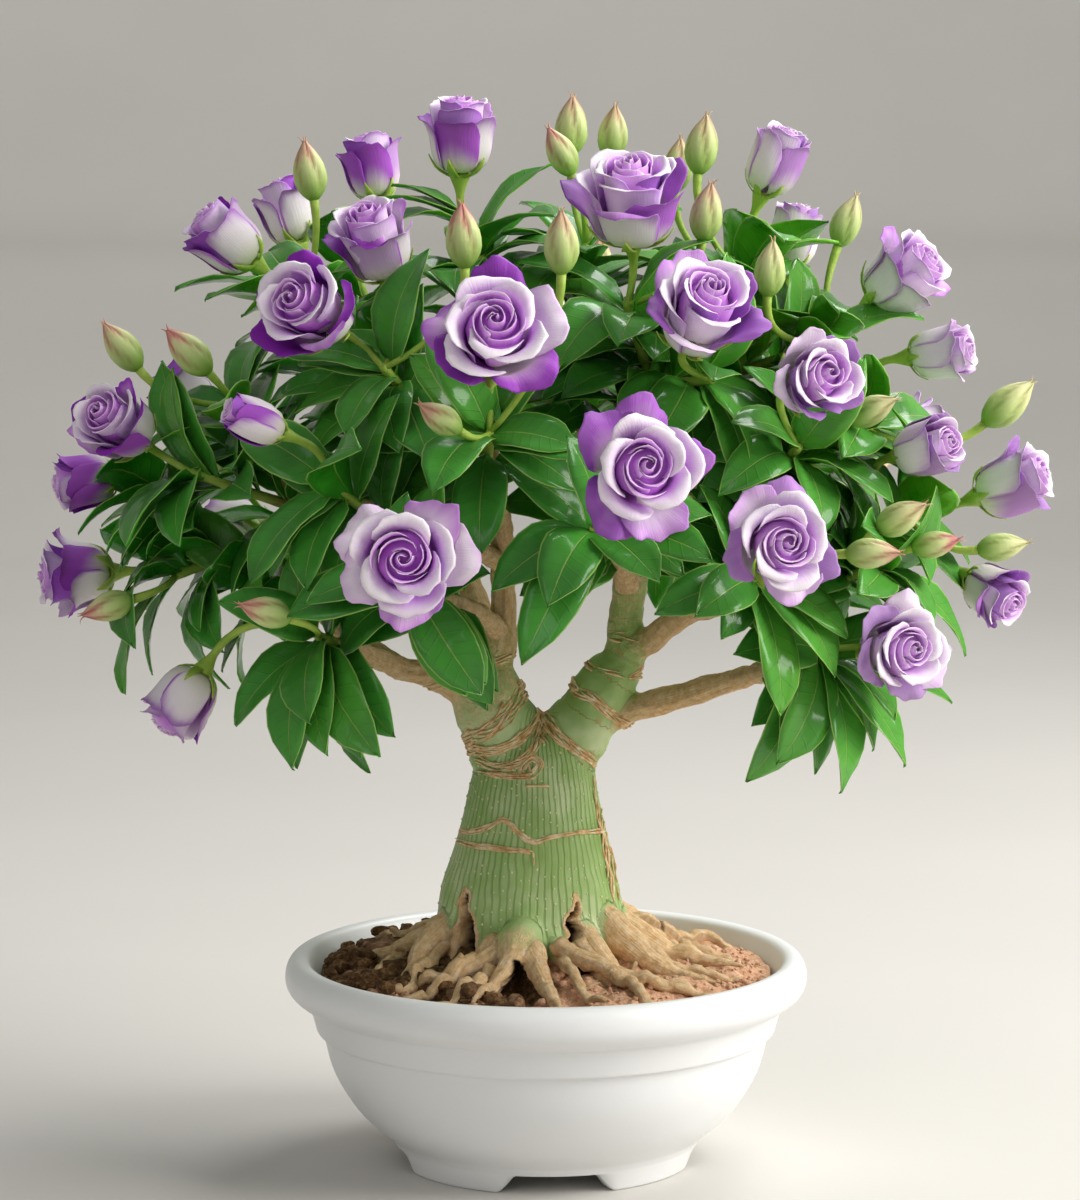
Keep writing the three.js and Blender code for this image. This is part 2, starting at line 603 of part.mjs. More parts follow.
// Points of a bloom's stalk, which swells into the green cup under the petals
function pedicelPoints(tip, bloom) {
  const facing = vector(bloom.facing).normalize();
  const foot = along(vector(bloom.at), facing, -bloomHeight(bloom) / 2 - GAP);
  const size = Math.min(1, bloom.width / 40 + 0.15);
  return [
    ...stalkPoints(stalk(tip, foot, facing), PEDICEL_RADIUS),
    [...along(foot, facing, -CALYX_LENGTH), PEDICEL_RADIUS * 1.35],
    [...foot, CALYX_RADIUS * size],
  ];
}

// Points of a bud on its stalk, up to its pointed end
function budPoints(tip, [x, y, z, towardX, towardY, towardZ, length]) {
  const facing = new THREE.Vector3(towardX, towardY, towardZ).normalize();
  const foot = along(new THREE.Vector3(x, y, z), facing, -length / 2);
  return [
    ...stalkPoints(stalk(tip, foot, facing), PEDICEL_RADIUS * 0.9),
    [...foot, PEDICEL_RADIUS * 1.4],
    [...along(foot, facing, length * 0.32), length * 0.3],
    [...along(foot, facing, length * 0.64), length * 0.24],
    [...along(foot, facing, length), 0],
  ];
}

function pointed(path, sides) {
  const rings = pathRings(path, sides);
  if (path.at(-1)[3] === 0) rings[rings.length - 1] = [vector(path.at(-1))];
  return loft(rings);
}

// A green stem that runs on into its first bloom or bud, with the others springing from its tip
function stemSolids({ start, knee, tip, way, blooms, buds }) {
  const springs = [
    ...blooms.map((number) => pedicelPoints(tip, BLOOMS[number - 1])),
    ...buds.map((place) => budPoints(tip, place)),
  ];
  const root = [[...start, STEM_RADIUS * 1.15], [...knee, STEM_RADIUS]];
  const first = springs.shift() ?? [[...tip, STEM_RADIUS * 0.85]];
  first[0][3] = STEM_RADIUS * 0.85;
  const sidesOf = (path) => (path.at(-1)[3] === 0 ? BUD_SIDES : STEM_SIDES);
  const side = springs.map((path) => {
    const sunk = along(vector(path[0]), way, -1.5);
    return pointed([[...sunk, path[0][3]], ...path.slice(1)], sidesOf(path));
  });
  return [pointed([...root, ...first], sidesOf(first)), ...side];
}

// A leaf from its base to its tip: an arched, folded blade with a sharp outline, thickest at the rib
function leafSolid({ base, tip, width, light }, { from = 0, extra = 0 } = {}) {
  const chord = tip.clone().sub(base);
  const length = chord.length();
  const way = chord.clone().normalize();
  const up = along(light, way, -light.dot(way)).normalize();
  const side = new THREE.Vector3().crossVectors(way, up);
  const rib = (share) => along(along(base, chord, share), up, 4 * LEAF_ARCH * length * share * (1 - share));
  const edge = (share, spread) => {
    const half = spread * (width / 2 + extra);
    return along(along(rib(share), side, half), up, LEAF_FOLD * Math.abs(half));
  };
  const near = Math.max(LEAF_SHOULDER, from);
  const points = [
    from > 0 ? rib(from) : base,
    edge(near, -0.9), edge(0.72, -0.86), along(tip, way, extra), edge(0.72, 0.86), edge(near, 0.9),
    along(rib(0.52), up, extra),
    along(rib(0.5), up, -LEAF_THICKNESS - extra),
  ];
  const faces = [];
  for (let corner = 0; corner < 6; corner += 1) {
    const next = (corner + 1) % 6;
    faces.push([next, corner, 6], [corner, next, 7]);
  }
  return skin(points, faces);
}

// Other ways to set a leaf that would meet something: turn about the stem, spread and length
const LEAF_TRIES = [
  [0, 0, 1], [0.3, 0, 1], [-0.3, 0, 1], [0, 0.3, 1], [0, -0.3, 1], [0.6, 0, 0.95], [-0.6, 0, 0.95],
  [0.4, 0.3, 0.9], [-0.4, 0.3, 0.9], [0.4, -0.3, 0.9], [-0.4, -0.3, 0.9], [0, 0.5, 0.8], [0, -0.4, 0.8],
  [0.9, 0, 0.8], [-0.9, 0, 0.8], [1.2, 0.2, 0.72], [-1.2, 0.2, 0.72],
];
// Other ways to set the tip of a placed leaf: further back and higher
const PLACED_TRIES = [
  [0, 0], [4, 0], [-4, 0], [0, 4], [0, -4], [6, 5], [-6, 5], [6, -5], [-6, -5], [0, 9], [0, -9],
];

function lightOn(base) {
  const above = new THREE.Vector3(0, 0, LIGHT_FROM_ABOVE);
  return base.clone().sub(CROWN_CENTRE).normalize().add(above).normalize();
}

function whorlLeaf(stem, index, attempt) {
  const { tip, way, number, whorl, reach } = stem;
  const [turn, spreadMore, shorter] = LEAF_TRIES[attempt];
  const down = index / whorl;
  const angle = draw(number, 0, 1) * 2 * Math.PI + index * GOLDEN_TURN + turn;
  const spread = WHORL_SPREAD[0] + WHORL_SPREAD[1] * down + spreadMore;
  const [side, other] = across(way);
  const radial = side.multiplyScalar(Math.cos(angle)).addScaledVector(other, Math.sin(angle));
  const heading = way.clone().multiplyScalar(Math.cos(spread)).addScaledVector(radial, Math.sin(spread));
  heading.z -= WHORL_DROOP;
  heading.normalize();
  const base = along(tip, way, -WHORL_START - down * reach);
  const [short, long] = LEAF_LENGTH;
  const length = (short + (long - short) * draw(number, index, 2)) * shorter;
  return { base, tip: along(base, heading, length), width: length * LEAF_SLENDERNESS, light: lightOn(base) };
}

function placedLeaf(stem, index, attempt) {
  const [x, y, z, width] = stem.placed[index];
  const [further, higher] = PLACED_TRIES[attempt];
  const base = along(stem.tip, stem.way, -2 - 3 * index);
  return { base, tip: new THREE.Vector3(x, y + further, z + higher), width, light: lightOn(base) };
}

// Green stems of a shoot from the end of its twig out to every tip
function stemsOf({ wood, tips }, firstNumber) {
  const end = vector(wood.at(-1));
  const way = end.clone().sub(vector(wood.at(-2))).normalize();
  const start = along(end, way, GAP);
  const knee = along(end, way, KNEE);
  return tips.map(({ at, blooms = [], buds = [], placed = [], whorl = 0 }, index) => {
    const tip = vector(at);
    const run = tip.clone().sub(knee);
    return {
      start, knee, tip, blooms, buds, placed, whorl,
      number: firstNumber + index,
      way: run.clone().normalize(),
      reach: Math.min(WHORL_REACH, run.length() - WHORL_BARE_END),
    };
  });
}

const apart = (one, other) => {
  const a = one.boundingBox();
  const b = other.boundingBox();
  return [0, 1, 2].some((axis) => a.max[axis] < b.min[axis] || b.max[axis] < a.min[axis]);
};
const meets = (one, other) => !apart(one, other) && one.intersect(other).volume() > 1e-6;

const trunkSolid = trunk();
const bloomSolids = BLOOMS.map(placedBloom);

let tipCount = 0;
const shoots = SHOOTS.map((shoot) => {
  const stems = stemsOf(shoot, tipCount);
  tipCount += stems.length;
  const solids = stems.flatMap(stemSolids);
  return { stems, bare: joined(solids), leaves: [], outer: [] };
});

// Leaves go on one by one. A leaf that would meet another piece is turned a little, and one that
// finds no room is left out.
function addLeaf(shoot, stem, index, setLeaf, tries) {
  for (let attempt = 0; attempt < tries.length; attempt += 1) {
    const leaf = setLeaf(stem, index, attempt);
    const body = leafSolid(leaf, { extra: LEAF_CLEARANCE });
    const free = leafSolid(leaf, { from: LEAF_FREE_FROM, extra: LEAF_CLEARANCE });
    const others = shoots.filter((other) => other !== shoot);
    const blocked = meets(body, trunkSolid)
      || bloomSolids.some((other) => meets(body, other))
      || others.some((other) => meets(body, other.bare) || other.leaves.some((blade) => meets(body, blade)))
      || meets(free, shoot.bare)
      || shoot.outer.some((blade) => meets(free, blade));
    if (!blocked) {
      shoot.leaves.push(leafSolid(leaf));
      shoot.outer.push(leafSolid(leaf, { from: LEAF_FREE_FROM }));
      return;
    }
  }
}
for (const shoot of shoots) {
  for (const stem of shoot.stems) {
    stem.placed.forEach((unused, index) => addLeaf(shoot, stem, index, placedLeaf, PLACED_TRIES));
  }
}
for (const shoot of shoots) {
  for (const stem of shoot.stems) {
    for (let index = 0; index < stem.whorl; index += 1) addLeaf(shoot, stem, index, whorlLeaf, LEAF_TRIES);
  }
}

const looks = {
  pot: { color: 0xf2f3f2, roughness: 0.22, metalness: 0 },
  soil: { color: 0x7d4f36, roughness: 0.95, metalness: 0 },
  trunk: { color: 0x96a56a, roughness: 0.7, metalness: 0 },
  spray: { color: 0x2f7d2c, roughness: 0.35, metalness: 0 },
  bloom: { color: 0xb48ad6, roughness: 0.5, metalness: 0 },
};

function piece(name, solid, look) {
  const mesh = new THREE.Mesh(toGeometry(solid), new THREE.MeshStandardMaterial(looks[look]));
  mesh.name = name;
  return mesh;
}

const twoDigits = (number) => String(number).padStart(2, '0');
const bonsai = new THREE.Group();
bonsai.add(piece('pot', bowl(), 'pot'));
bonsai.add(piece('soil', soil(), 'soil'));
bonsai.add(piece('trunk', trunkSolid, 'trunk'));
shoots.forEach(({ bare, leaves }, index) => {
  bonsai.add(piece(`spray_${twoDigits(index + 1)}`, joined([bare, ...leaves]), 'spray'));
});
bloomSolids.forEach((solid, index) => {
  bonsai.add(piece(`bloom_${twoDigits(index + 1)}`, solid, 'bloom'));
});

export default bonsai;
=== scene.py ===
import math

import bpy
import numpy as np
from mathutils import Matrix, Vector
from mathutils.bvhtree import BVHTree
from mathutils.kdtree import KDTree


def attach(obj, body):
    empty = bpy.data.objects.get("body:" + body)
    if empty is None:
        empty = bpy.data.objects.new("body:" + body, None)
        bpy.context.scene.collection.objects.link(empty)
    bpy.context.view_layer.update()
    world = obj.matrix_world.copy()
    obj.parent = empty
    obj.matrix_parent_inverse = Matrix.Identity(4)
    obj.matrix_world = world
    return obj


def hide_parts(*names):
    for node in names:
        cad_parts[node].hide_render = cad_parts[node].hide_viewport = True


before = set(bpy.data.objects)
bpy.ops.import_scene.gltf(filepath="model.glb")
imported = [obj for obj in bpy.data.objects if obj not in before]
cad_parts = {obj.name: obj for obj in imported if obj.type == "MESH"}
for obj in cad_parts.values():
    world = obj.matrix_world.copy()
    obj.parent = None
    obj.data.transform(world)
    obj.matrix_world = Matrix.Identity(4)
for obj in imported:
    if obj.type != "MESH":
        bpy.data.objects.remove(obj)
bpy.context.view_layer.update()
MM = 0.001
TURN = 2 * math.pi
scene = bpy.context.scene


def aimed(thing, place, target):
    """Puts a camera or lamp at a place, looking at a target."""
    scene.collection.objects.link(thing)
    thing.location = place
    thing.rotation_euler = (Vector(target) - Vector(place)).to_track_quat("-Z", "Y").to_euler()
    return thing


# Camera, lamps and the world's light
EYE = np.array([-2.6, -1700, 449])
AIM = np.array([-2.6, 0, 249])
LENS = 117.5
FILM = 36
PHOTO = (1080, 1200)
view = bpy.data.cameras.new("view")
view.lens = LENS
view.clip_end = 50
scene.camera = aimed(bpy.data.objects.new("view", view), EYE * MM, AIM * MM)

LAMPS = [
    ("window", (1.7, -0.5, 1.2), (0, 0, 0.25), 1.3, 48, (1.0, 0.98, 0.95)),
    ("front", (-0.8, -1.7, 1.2), (0, 0, 0.25), 1.2, 6, (0.97, 0.98, 1.0)),
    ("top", (0.6, 0.8, 1.6), (0, 0, 0.25), 0.9, 20, (1.0, 1.0, 1.0)),
    ("wall", (0, 1.6, 3.0), (0, 5.0, 2.2), 1.6, 50, (1.0, 1.0, 1.0)),
]
for name, place, target, size, power, colour in LAMPS:
    lamp = bpy.data.lights.new(name, "AREA")
    lamp.size = size
    lamp.energy = power
    lamp.color = colour
    aimed(bpy.data.objects.new(name, lamp), place, target)
world = bpy.data.worlds.new("studio")
scene.world = world
world.use_nodes = True
world.node_tree.nodes["Background"].inputs["Color"].default_value = (0.86, 0.88, 0.9, 1)
world.node_tree.nodes["Background"].inputs["Strength"].default_value = 0.27
scene.view_settings.view_transform = "Standard"


def paint(code):
    """The colour of a six-digit code as a shader takes it."""
    shares = [int(code[place : place + 2], 16) / 255 for place in (0, 2, 4)]
    linear = [share / 12.92 if share < 0.04045 else ((share + 0.055) / 1.055) ** 2.4 for share in shares]
    return (*linear, 1.0)


class Value:
    """A socket of a finish's nodes, with Python's arithmetic."""

    def __init__(self, finish, socket):
        self.finish = finish
        self.socket = socket

    def __add__(self, other):
        return self.finish.math("ADD", self, other)

    def __sub__(self, other):
        return self.finish.math("SUBTRACT", self, other)

    def __mul__(self, other):
        return self.finish.math("MULTIPLY", self, other)

    def __rsub__(self, other):
        return self.finish.math("SUBTRACT", other, self)

    def __abs__(self):
        return self.finish.math("ABSOLUTE", self)

    __radd__ = __add__
    __rmul__ = __mul__


class Finish:
    """A material, with one method that makes any of its nodes."""

    def __init__(self, name, **constants):
        self.material = bpy.data.materials.new(name)
        self.material.use_nodes = True
        self.tree = self.material.node_tree
        self.shader = self.tree.nodes["Principled BSDF"]
        for words, value in constants.items():
            self.put(self.shader.inputs[words.replace("_", " ").title().replace("Ior", "IOR")], value)

    def put(self, socket, value):
        if isinstance(value, Value):
            self.tree.links.new(value.socket, socket)
        else:
            socket.default_value = paint(value) if isinstance(value, str) else value

    def node(self, kind, settings, inputs, output=0):
        made = self.tree.nodes.new(kind)
        for name, setting in settings.items():
            if name == "stops":
                while len(made.color_ramp.elements) < len(setting):
                    made.color_ramp.elements.new(1)
                for element, (place, colour) in zip(made.color_ramp.elements, setting):
                    element.position = place
                    element.color = paint(colour)
            else:
                setattr(made, name, setting)
        for key, value in inputs.items():
            self.put(made.inputs[key], value)
        return Value(self, made.outputs[output])

    def math(self, operation, *values):
        return self.node("ShaderNodeMath", {"operation": operation}, dict(enumerate(values)))

    def step(self, value, low, high):
        """A smooth change from 0 to 1 as value goes from low to high."""
        inputs = {0: value, 1: low, 2: high}
        return self.node("ShaderNodeMapRange", {"interpolation_type": "SMOOTHSTEP"}, inputs)

    def mix(self, factor, first, second):
        return self.node("ShaderNodeMix", {"data_type": "RGBA"}, {0: factor, 6: first, 7: second}, 2)

    def ramp(self, value, *stops):
        return self.node("ShaderNodeValToRGB", {"stops": stops}, {0: value})

    def read(self, name, output="Fac"):
        return self.node("ShaderNodeAttribute", {"attribute_name": name}, {}, output)

    def vector(self, x, y, z):
        return self.node("ShaderNodeCombineXYZ", {}, {0: x, 1: y, 2: z})

    def place(self):
        return self.node("ShaderNodeTexCoord", {}, {}, "Object")

    def noise(self, where, scale, detail=2.0, roughness=0.5):
        inputs = {"Vector": where, "Scale": scale, "Detail": detail, "Roughness": roughness}
        return self.node("ShaderNodeTexNoise", {}, inputs, "Fac")

    def use(self, colour, roughness, height, depth):
        """Sends colour, roughness and a relief of that depth in metres to the shader."""
        inputs = {"Height": height, "Distance": depth, "Strength": 1.0}
        self.put(self.shader.inputs["Base Color"], colour)
        self.put(self.shader.inputs["Roughness"], roughness)
        self.put(self.shader.inputs["Normal"], self.node("ShaderNodeBump", {}, inputs))
        return self.material


def bowl_finish():
    f = Finish("white_gloss_plastic", coat_weight=0.2, coat_roughness=0.3, specular_ior_level=0.5)
    where = f.place()
    cloud = f.noise(where, 14.0, 3.0)
    grain = f.noise(where, 1400.0, 1.0)
    colour = f.mix(cloud, "eff1f2", "f8f9f9")
    return f.use(colour, 0.33 + 0.1 * cloud, grain, 0.00003)


def soil_finish():
    f = Finish("soil_crumb", specular_ior_level=0.25)
    where = f.place()
    damp = f.read("damp")
    patch = f.noise(where, 60.0, 4.0, 0.6)
    crumb = f.noise(where, 420.0, 4.0, 0.7)
    dry = f.ramp(crumb, (0.25, "9a6a4c"), (0.5, "d0a07f"), (0.75, "f0cfb2"))
    wet = f.ramp(crumb, (0.25, "27180c"), (0.5, "5e4226"), (0.78, "a5845a"))
    # the dark damp colour also fills the pit under the front root as painted shade
    colour = f.mix(f.step(damp + 0.5 * patch, 0.55, 0.95), dry, wet)
    return f.use(colour, 0.88 + 0.1 * crumb, crumb + 0.4 * patch, 0.0012)


# How closely rings follow each other along a green limb, in its colour and its relief
RINGS = 0.62


def trunk_finish():
    """Green skin with fine upright lines, tan bark where the value bark is high, and painted shade deep in
    the clefts.
    """
    f = Finish("green_skin_and_bark", specular_ior_level=0.35)
    where = f.place()
    bark = f.read("bark")
    turn = f.read("turn")
    along = f.read("along")
    hollow = f.read("hollow")
    swollen = f.read("swollen")
    patch = f.noise(where, 30.0, 3.0, 0.6)
    speck = f.noise(where, 350.0, 3.0, 0.65)
    sway = f.noise(where, 38.0, 2.0, 0.6)
    upright = f.math("SINE", turn * 66.0 + 11.0 * sway)
    lines = f.step(upright, 0.25, 1.0) * f.step(swollen, 0.5, 0.95) * f.step(patch + 0.5 * sway, 0.5, 0.85)
    skin = f.ramp(patch, (0.3, "8aac58"), (0.5, "a9c67c"), (0.7, "d6e4b2"))
    skin = f.mix(lines * 0.55, skin, "679642")
    ring = f.step(f.math("SINE", along * RINGS + 4.0 * sway), 0.93, 1.0) * f.step(swollen, 0.2, 0.0)
    skin = f.mix(ring * 0.75, skin, "c29c63")
    fibre = f.noise(f.vector(turn * 9.0, along * 0.05, 0.0), 1.6, 4.0, 0.7)
    wood = f.ramp(fibre * 0.55 + speck * 0.45, (0.3, "bf935f"), (0.48, "e8c08c"), (0.66, "fbe8c8"))
    edge = f.step(bark + 0.45 * (speck - 0.5) + 0.6 * (patch - 0.5), 0.3, 0.66)
    colour = f.mix(edge, skin, wood)
    # painted shade: near-black deep in the clefts
    colour = f.mix(hollow, colour, "190d05")
    relief = edge * (0.8 * fibre + 0.8 * speck) + (1.0 - edge) * (0.35 - 0.3 * lines + 0.25 * ring)
    return f.use(colour, 0.46 + 0.32 * edge + 0.1 * speck, relief, 0.001)


def fibre_finish():
    f = Finish("dry_bark_fibre", specular_ior_level=0.2)
    where = f.place()
    strand = f.noise(where, 260.0, 3.0, 0.6)
    colour = f.ramp(strand, (0.3, "cfa06c"), (0.5, "efcb9b"), (0.7, "fdebcd"))
    return f.use(colour, 0.8 + 0.1 * strand, strand, 0.0004)


def lenticel_finish():
    f = Finish("pale_pore", specular_ior_level=0.3)
    tone = f.noise(f.place(), 300.0)
    return f.use(f.mix(tone, "d7dc9a", "eef0c4"), 0.6 + 0.1 * tone, tone, 0.0001)


def stem_finish():
    """Yellow-green stalks, browner where the value fresh is low."""
    f = Finish("green_stem", specular_ior_level=0.4)
    where = f.place()
    fresh = f.read("fresh")
    tone = f.noise(where, 90.0, 3.0)
    line = f.noise(where, 600.0, 2.0)
    green = f.ramp(tone, (0.3, "8cb03a"), (0.7, "b6d05e"))
    brown = f.ramp(line, (0.3, "86683a"), (0.7, "b59a62"))
    colour = f.mix(f.step(fresh + 0.4 * (tone - 0.5), 0.15, 0.6), brown, green)
    return f.use(colour, 0.42 + 0.2 * tone, line, 0.00025)


def leaf_finish():
    """Glossy green blade, with a pale rib and margin that the values along and across place, lighter where
    leaves are young and, as painted light, towards the right and the top of the crown.
    """
    f = Finish("glossy_leaf", coat_weight=0.5, coat_roughness=0.14, specular_ior_level=0.2)
    along = f.read("along")
    across = abs(f.read("across"))
    young = f.read("young")
    under = f.read("under")
    where = f.place()
    cloud = f.noise(where, 38.0, 2.0)
    fleck = f.noise(where, 500.0, 1.0)
    dark = f.ramp(cloud, (0.3, "0e6f10"), (0.7, "34ab2b"))
    light = f.ramp(cloud, (0.3, "3fa014"), (0.7, "7dcc2c"))
    # lighter green: partly young leaves, partly painted light on the right and at the top of the crown
    blade = f.mix(young, dark, light)
    vein = f.step(f.math("SINE", along * 62.0 - across * 7.0), 0.86, 1.0) * f.step(across, 0.96, 0.7)
    blade = f.mix(vein * 0.2, blade, "3f8f35")
    blade = f.mix(under * 0.5, blade, "4f8a3c")
    rib = f.step(across, 0.05, 0.015)
    margin = f.step(across, 0.935, 0.985)
    pale = f.math("MAXIMUM", rib * 0.7, margin)
    colour = f.mix(pale * 0.8, blade, "a5cb66")
    relief = 0.6 * cloud + 0.25 * vein - 0.9 * rib + 0.06 * fleck
    return f.use(colour, 0.22 + 0.16 * cloud + 0.3 * under, relief, 0.0005)


def bud_finish():
    f = Finish("bud_green_cream", specular_ior_level=0.4)
    along = f.read("along")
    seam = f.read("seam")
    blush = f.read("blush")
    tone = f.noise(f.place(), 160.0, 3.0)
    base = f.ramp(along, (0.0, "7fab3e"), (0.3, "b4cd78"), (0.75, "dbdfa0"))
    flame = f.step(along + 0.5 * (tone - 0.5) + 0.25 * seam, 0.6, 1.0) * blush
    colour = f.mix(flame * 0.75, base, "cf4a74")
    colour = f.mix(seam * 0.7, colour, f.mix(blush * along, "7fa03c", "b03a58"))
    return f.use(colour, 0.42 + 0.15 * tone, tone - 1.2 * seam, 0.0004)


# Where the value ring passes from heart petals to middle ones, and from those to outer ones
MIDDLE_RING = (0.42, 0.44)
OUTER_RING = (0.68, 0.72)


def petal_finish():
    """Violet inside and cream-white outside; ring grows from the innermost petal's 0 outwards."""
    f = Finish("rose_petal", specular_ior_level=0.3)
    along = f.read("along")
    across = f.read("across")
    ring = f.read("ring")
    back = f.read("back")
    blush = f.read("blush")
    pale = f.read("pale")
    streak = f.noise(f.vector(across * 2.2, along * 0.6, ring * 37.0), 2.0, 1.0)
    drift = f.noise(f.place(), 55.0, 1.0)
    reach = along + 0.14 * (streak - 0.5) + 0.14 * (drift - 0.5)
    edge = f.math("MAXIMUM", f.step(along, 0.93, 0.985), f.step(abs(across), 0.93, 0.99))

    # Heart petals are violet on both faces, with a thin pale rim; their violet deepens towards the foot,
    # partly as painted shade deep in the bloom
    heart = f.ramp(
        reach,
        (0.4, "bd50d6"), (0.62, "d683ea"), (0.84, "e5abf4"),
        (0.95, "f0c8fa"), (1.0, "f9e4fb"),
    )
    heart = f.mix(edge * 0.6, heart, "f3dcf8")

    # Middle petals turn pale where they roll back; their deeper violet lower down inside is partly painted
    # shade
    curl = reach - 0.2 * (blush - 0.4)
    within = f.ramp(curl, (0.36, "c86ae2"), (0.6, "e2a8f2"), (0.82, "f6e4fb"), (1.0, "fbf3fa"))
    behind = f.ramp(reach, (0.1, "e9e4c9"), (0.5, "f5ebf5"), (0.8, "e6ccf0"), (1.0, "c287dd"))
    violet = f.step(blush, 0.56, 0.66) * f.step(reach, 0.3, 0.62)
    behind = f.mix(violet, behind, "a85acd")
    middle = f.mix(back, within, behind)

    # Outer petals are violet towards the tip inside, and cream-white with a violet margin outside
    flush = reach + 0.9 * (blush - 0.45)
    within = f.ramp(flush, (0.5, "f5e9f5"), (0.7, "dba6e8"), (0.88, "a844c8"), (1.0, "8a24ab"))
    behind = f.ramp(along, (0.03, "cfdb97"), (0.16, "efe9d2"), (0.5, "f8f0f4"), (1.0, "f1e2f5"))
    margin = f.step(reach, 0.66, 0.99) * 0.8
    margin = f.math("MAXIMUM", margin, f.step(abs(across), 0.84, 0.99) * f.step(along, 0.3, 0.6))
    whole = f.step(blush, 0.64, 0.74) * f.step(reach, 0.2, 0.62)
    behind = f.mix(f.math("MAXIMUM", margin, whole), behind, "a94fc8")
    outmost = f.mix(back, within, behind)

    colour = f.mix(f.step(ring, *MIDDLE_RING), heart, middle)
    colour = f.mix(f.step(ring, *OUTER_RING), colour, outmost)
    # painted light: whole blooms paler towards the right, where the light falls
    colour = f.mix(pale, colour, "f4eaf6")
    veins = f.noise(f.vector(across * 22.0, along * 1.5, ring * 11.0), 2.0, 1.0)
    return f.use(colour, 0.5 + 0.12 * streak, veins, 0.00018)


def floor_finish():
    f = Finish("pale_floor")
    tone = f.noise(f.place(), 3.0)
    return f.use(f.mix(tone, "cfccc6", "d8d5cf"), 0.75 + 0.05 * tone, tone, 0.0001)


def unit(vectors):
    vectors = np.asarray(vectors, float)
    return vectors / np.maximum(np.linalg.norm(vectors, axis=-1, keepdims=True), 1e-9)


def draw(first, second, third):
    """A repeatable draw from 0 to 1 for three whole numbers."""
    wave = math.sin(first * 12.9898 + second * 78.233 + third * 37.719) * 43758.5453
    return wave - math.floor(wave)


def ripple(points, size, seed):
    """Smooth unevenness from about -1 to 1 over points, with swells about size across."""
    total = np.zeros(points.shape[:-1])
    for wave in range(6):
        way = unit([draw(seed, wave, axis) - 0.5 for axis in range(3)])
        stretch = TURN / size * (0.6 + 0.8 * draw(seed, wave, 3))
        total += np.sin(points @ way * stretch + TURN * draw(seed, wave, 4))
    return total / 3.2


def ease(value, low, high):
    """A smooth change from 0 to 1 as value goes from low to high."""
    share = np.clip((value - low) / (high - low), 0, 1)
    return share * share * (3 - 2 * share)


def across_way(way):
    """Two directions across a way, the same for the same way."""
    reference = (1, 0, 0) if abs(way[2]) > 0.9 else (0, 0, 1)
    side = unit(np.cross(way, reference))
    return side, np.cross(way, side)


# The camera's way ahead and up, and how many pixels of the picture one unit of slope spans
AHEAD = unit(AIM - EYE)
ABOVE = np.cross((1, 0, 0), AHEAD)
PIXELS = LENS / FILM * PHOTO[1]


def sight(x, y):
    """The way from the camera through a pixel of the picture."""
    aside = np.array([1, 0, 0]) * (x - PHOTO[0] / 2)
    return unit(AHEAD * PIXELS + aside + ABOVE * (PHOTO[1] / 2 - y))


def pixels(points):
    """Where points show in the picture, in its own pixels."""
    offset = points - EYE
    scale = PIXELS / (offset @ AHEAD)
    return np.stack([PHOTO[0] / 2 + scale * offset[:, 0], PHOTO[1] / 2 - scale * (offset @ ABOVE)], 1)


def grid_faces(rows, columns, closed):
    """Triangles of a grid of points, which may close round its columns."""
    row = np.arange(rows - 1)[:, None] * columns
    column = np.arange(columns if closed else columns - 1)[None, :]
    after = (column + 1) % columns
    low, low_after = row + column, row + after
    high, high_after = low + columns, low_after + columns
    corners = [low, low_after, high_after, low, high_after, high]
    return np.stack(corners, -1).reshape(-1, 3)


def closed_skin(rings):
    """Points and triangles through closed rings, with a point that closes each end."""
    rows, sides = rings.shape[:2]
    points = np.vstack([rings.reshape(-1, 3), rings[0].mean(0), rings[-1].mean(0)])
    side = np.arange(sides)
    after = (side + 1) % sides
    last = (rows - 1) * sides
    foot = np.stack([np.full(sides, rows * sides), after, side], 1)
    head = np.stack([np.full(sides, rows * sides + 1), side + last, after + last], 1)
    return points, np.vstack([grid_faces(rows, sides, True), foot, head])


def by_ring(values, sides, ends):
    """Values given ring by ring as values of a closed skin's points, with those of its two end points."""
    return np.append(np.repeat(values, sides), ends)


def smooth_line(points, step):
    """Points about every step along a smooth line through points, with all their values."""
    knots = np.asarray(points, float)
    knots = np.vstack([2 * knots[0] - knots[1], knots, 2 * knots[-1] - knots[-2]])
    line = []
    for a, b, c, d in zip(knots, knots[1:], knots[2:], knots[3:]):
        count = max(2, math.ceil(np.linalg.norm((c - b)[:3]) / step))
        t = np.linspace(0, 1, count, endpoint=False)[:, None]
        curve = 2 * b + (c - a) * t + (2 * a - 5 * b + 4 * c - d) * t**2 + (3 * b - a - 3 * c + d) * t**3
        line.append(curve / 2)
    return np.vstack([*line, knots[-2:-1]])


def carried_frames(centres):
    """The way along a line at each point, and two directions across it that turn as little as they can."""
    ways = unit(np.gradient(centres, axis=0))
    side = across_way(ways[0])[0]
    sides = []
    for way in ways:
        side = unit(side - way * side.dot(way))
        sides.append(side)
    sides = np.array(sides)
    return ways, sides, np.cross(ways, sides)


def tube(line, sides, swell=1.0):
    """A closed round skin along a line of x, y, z and radius. swell scales the radius point by point."""
    _, side, other = carried_frames(line[:, :3])
    angle = np.arange(sides) / sides * TURN
    circle = np.cos(angle)[:, None] * side[:, None] + np.sin(angle)[:, None] * other[:, None]
    radius = np.broadcast_to(line[:, 3, None] * swell, (len(line), sides))
    return closed_skin(line[:, None, :3] + circle * radius[..., None])


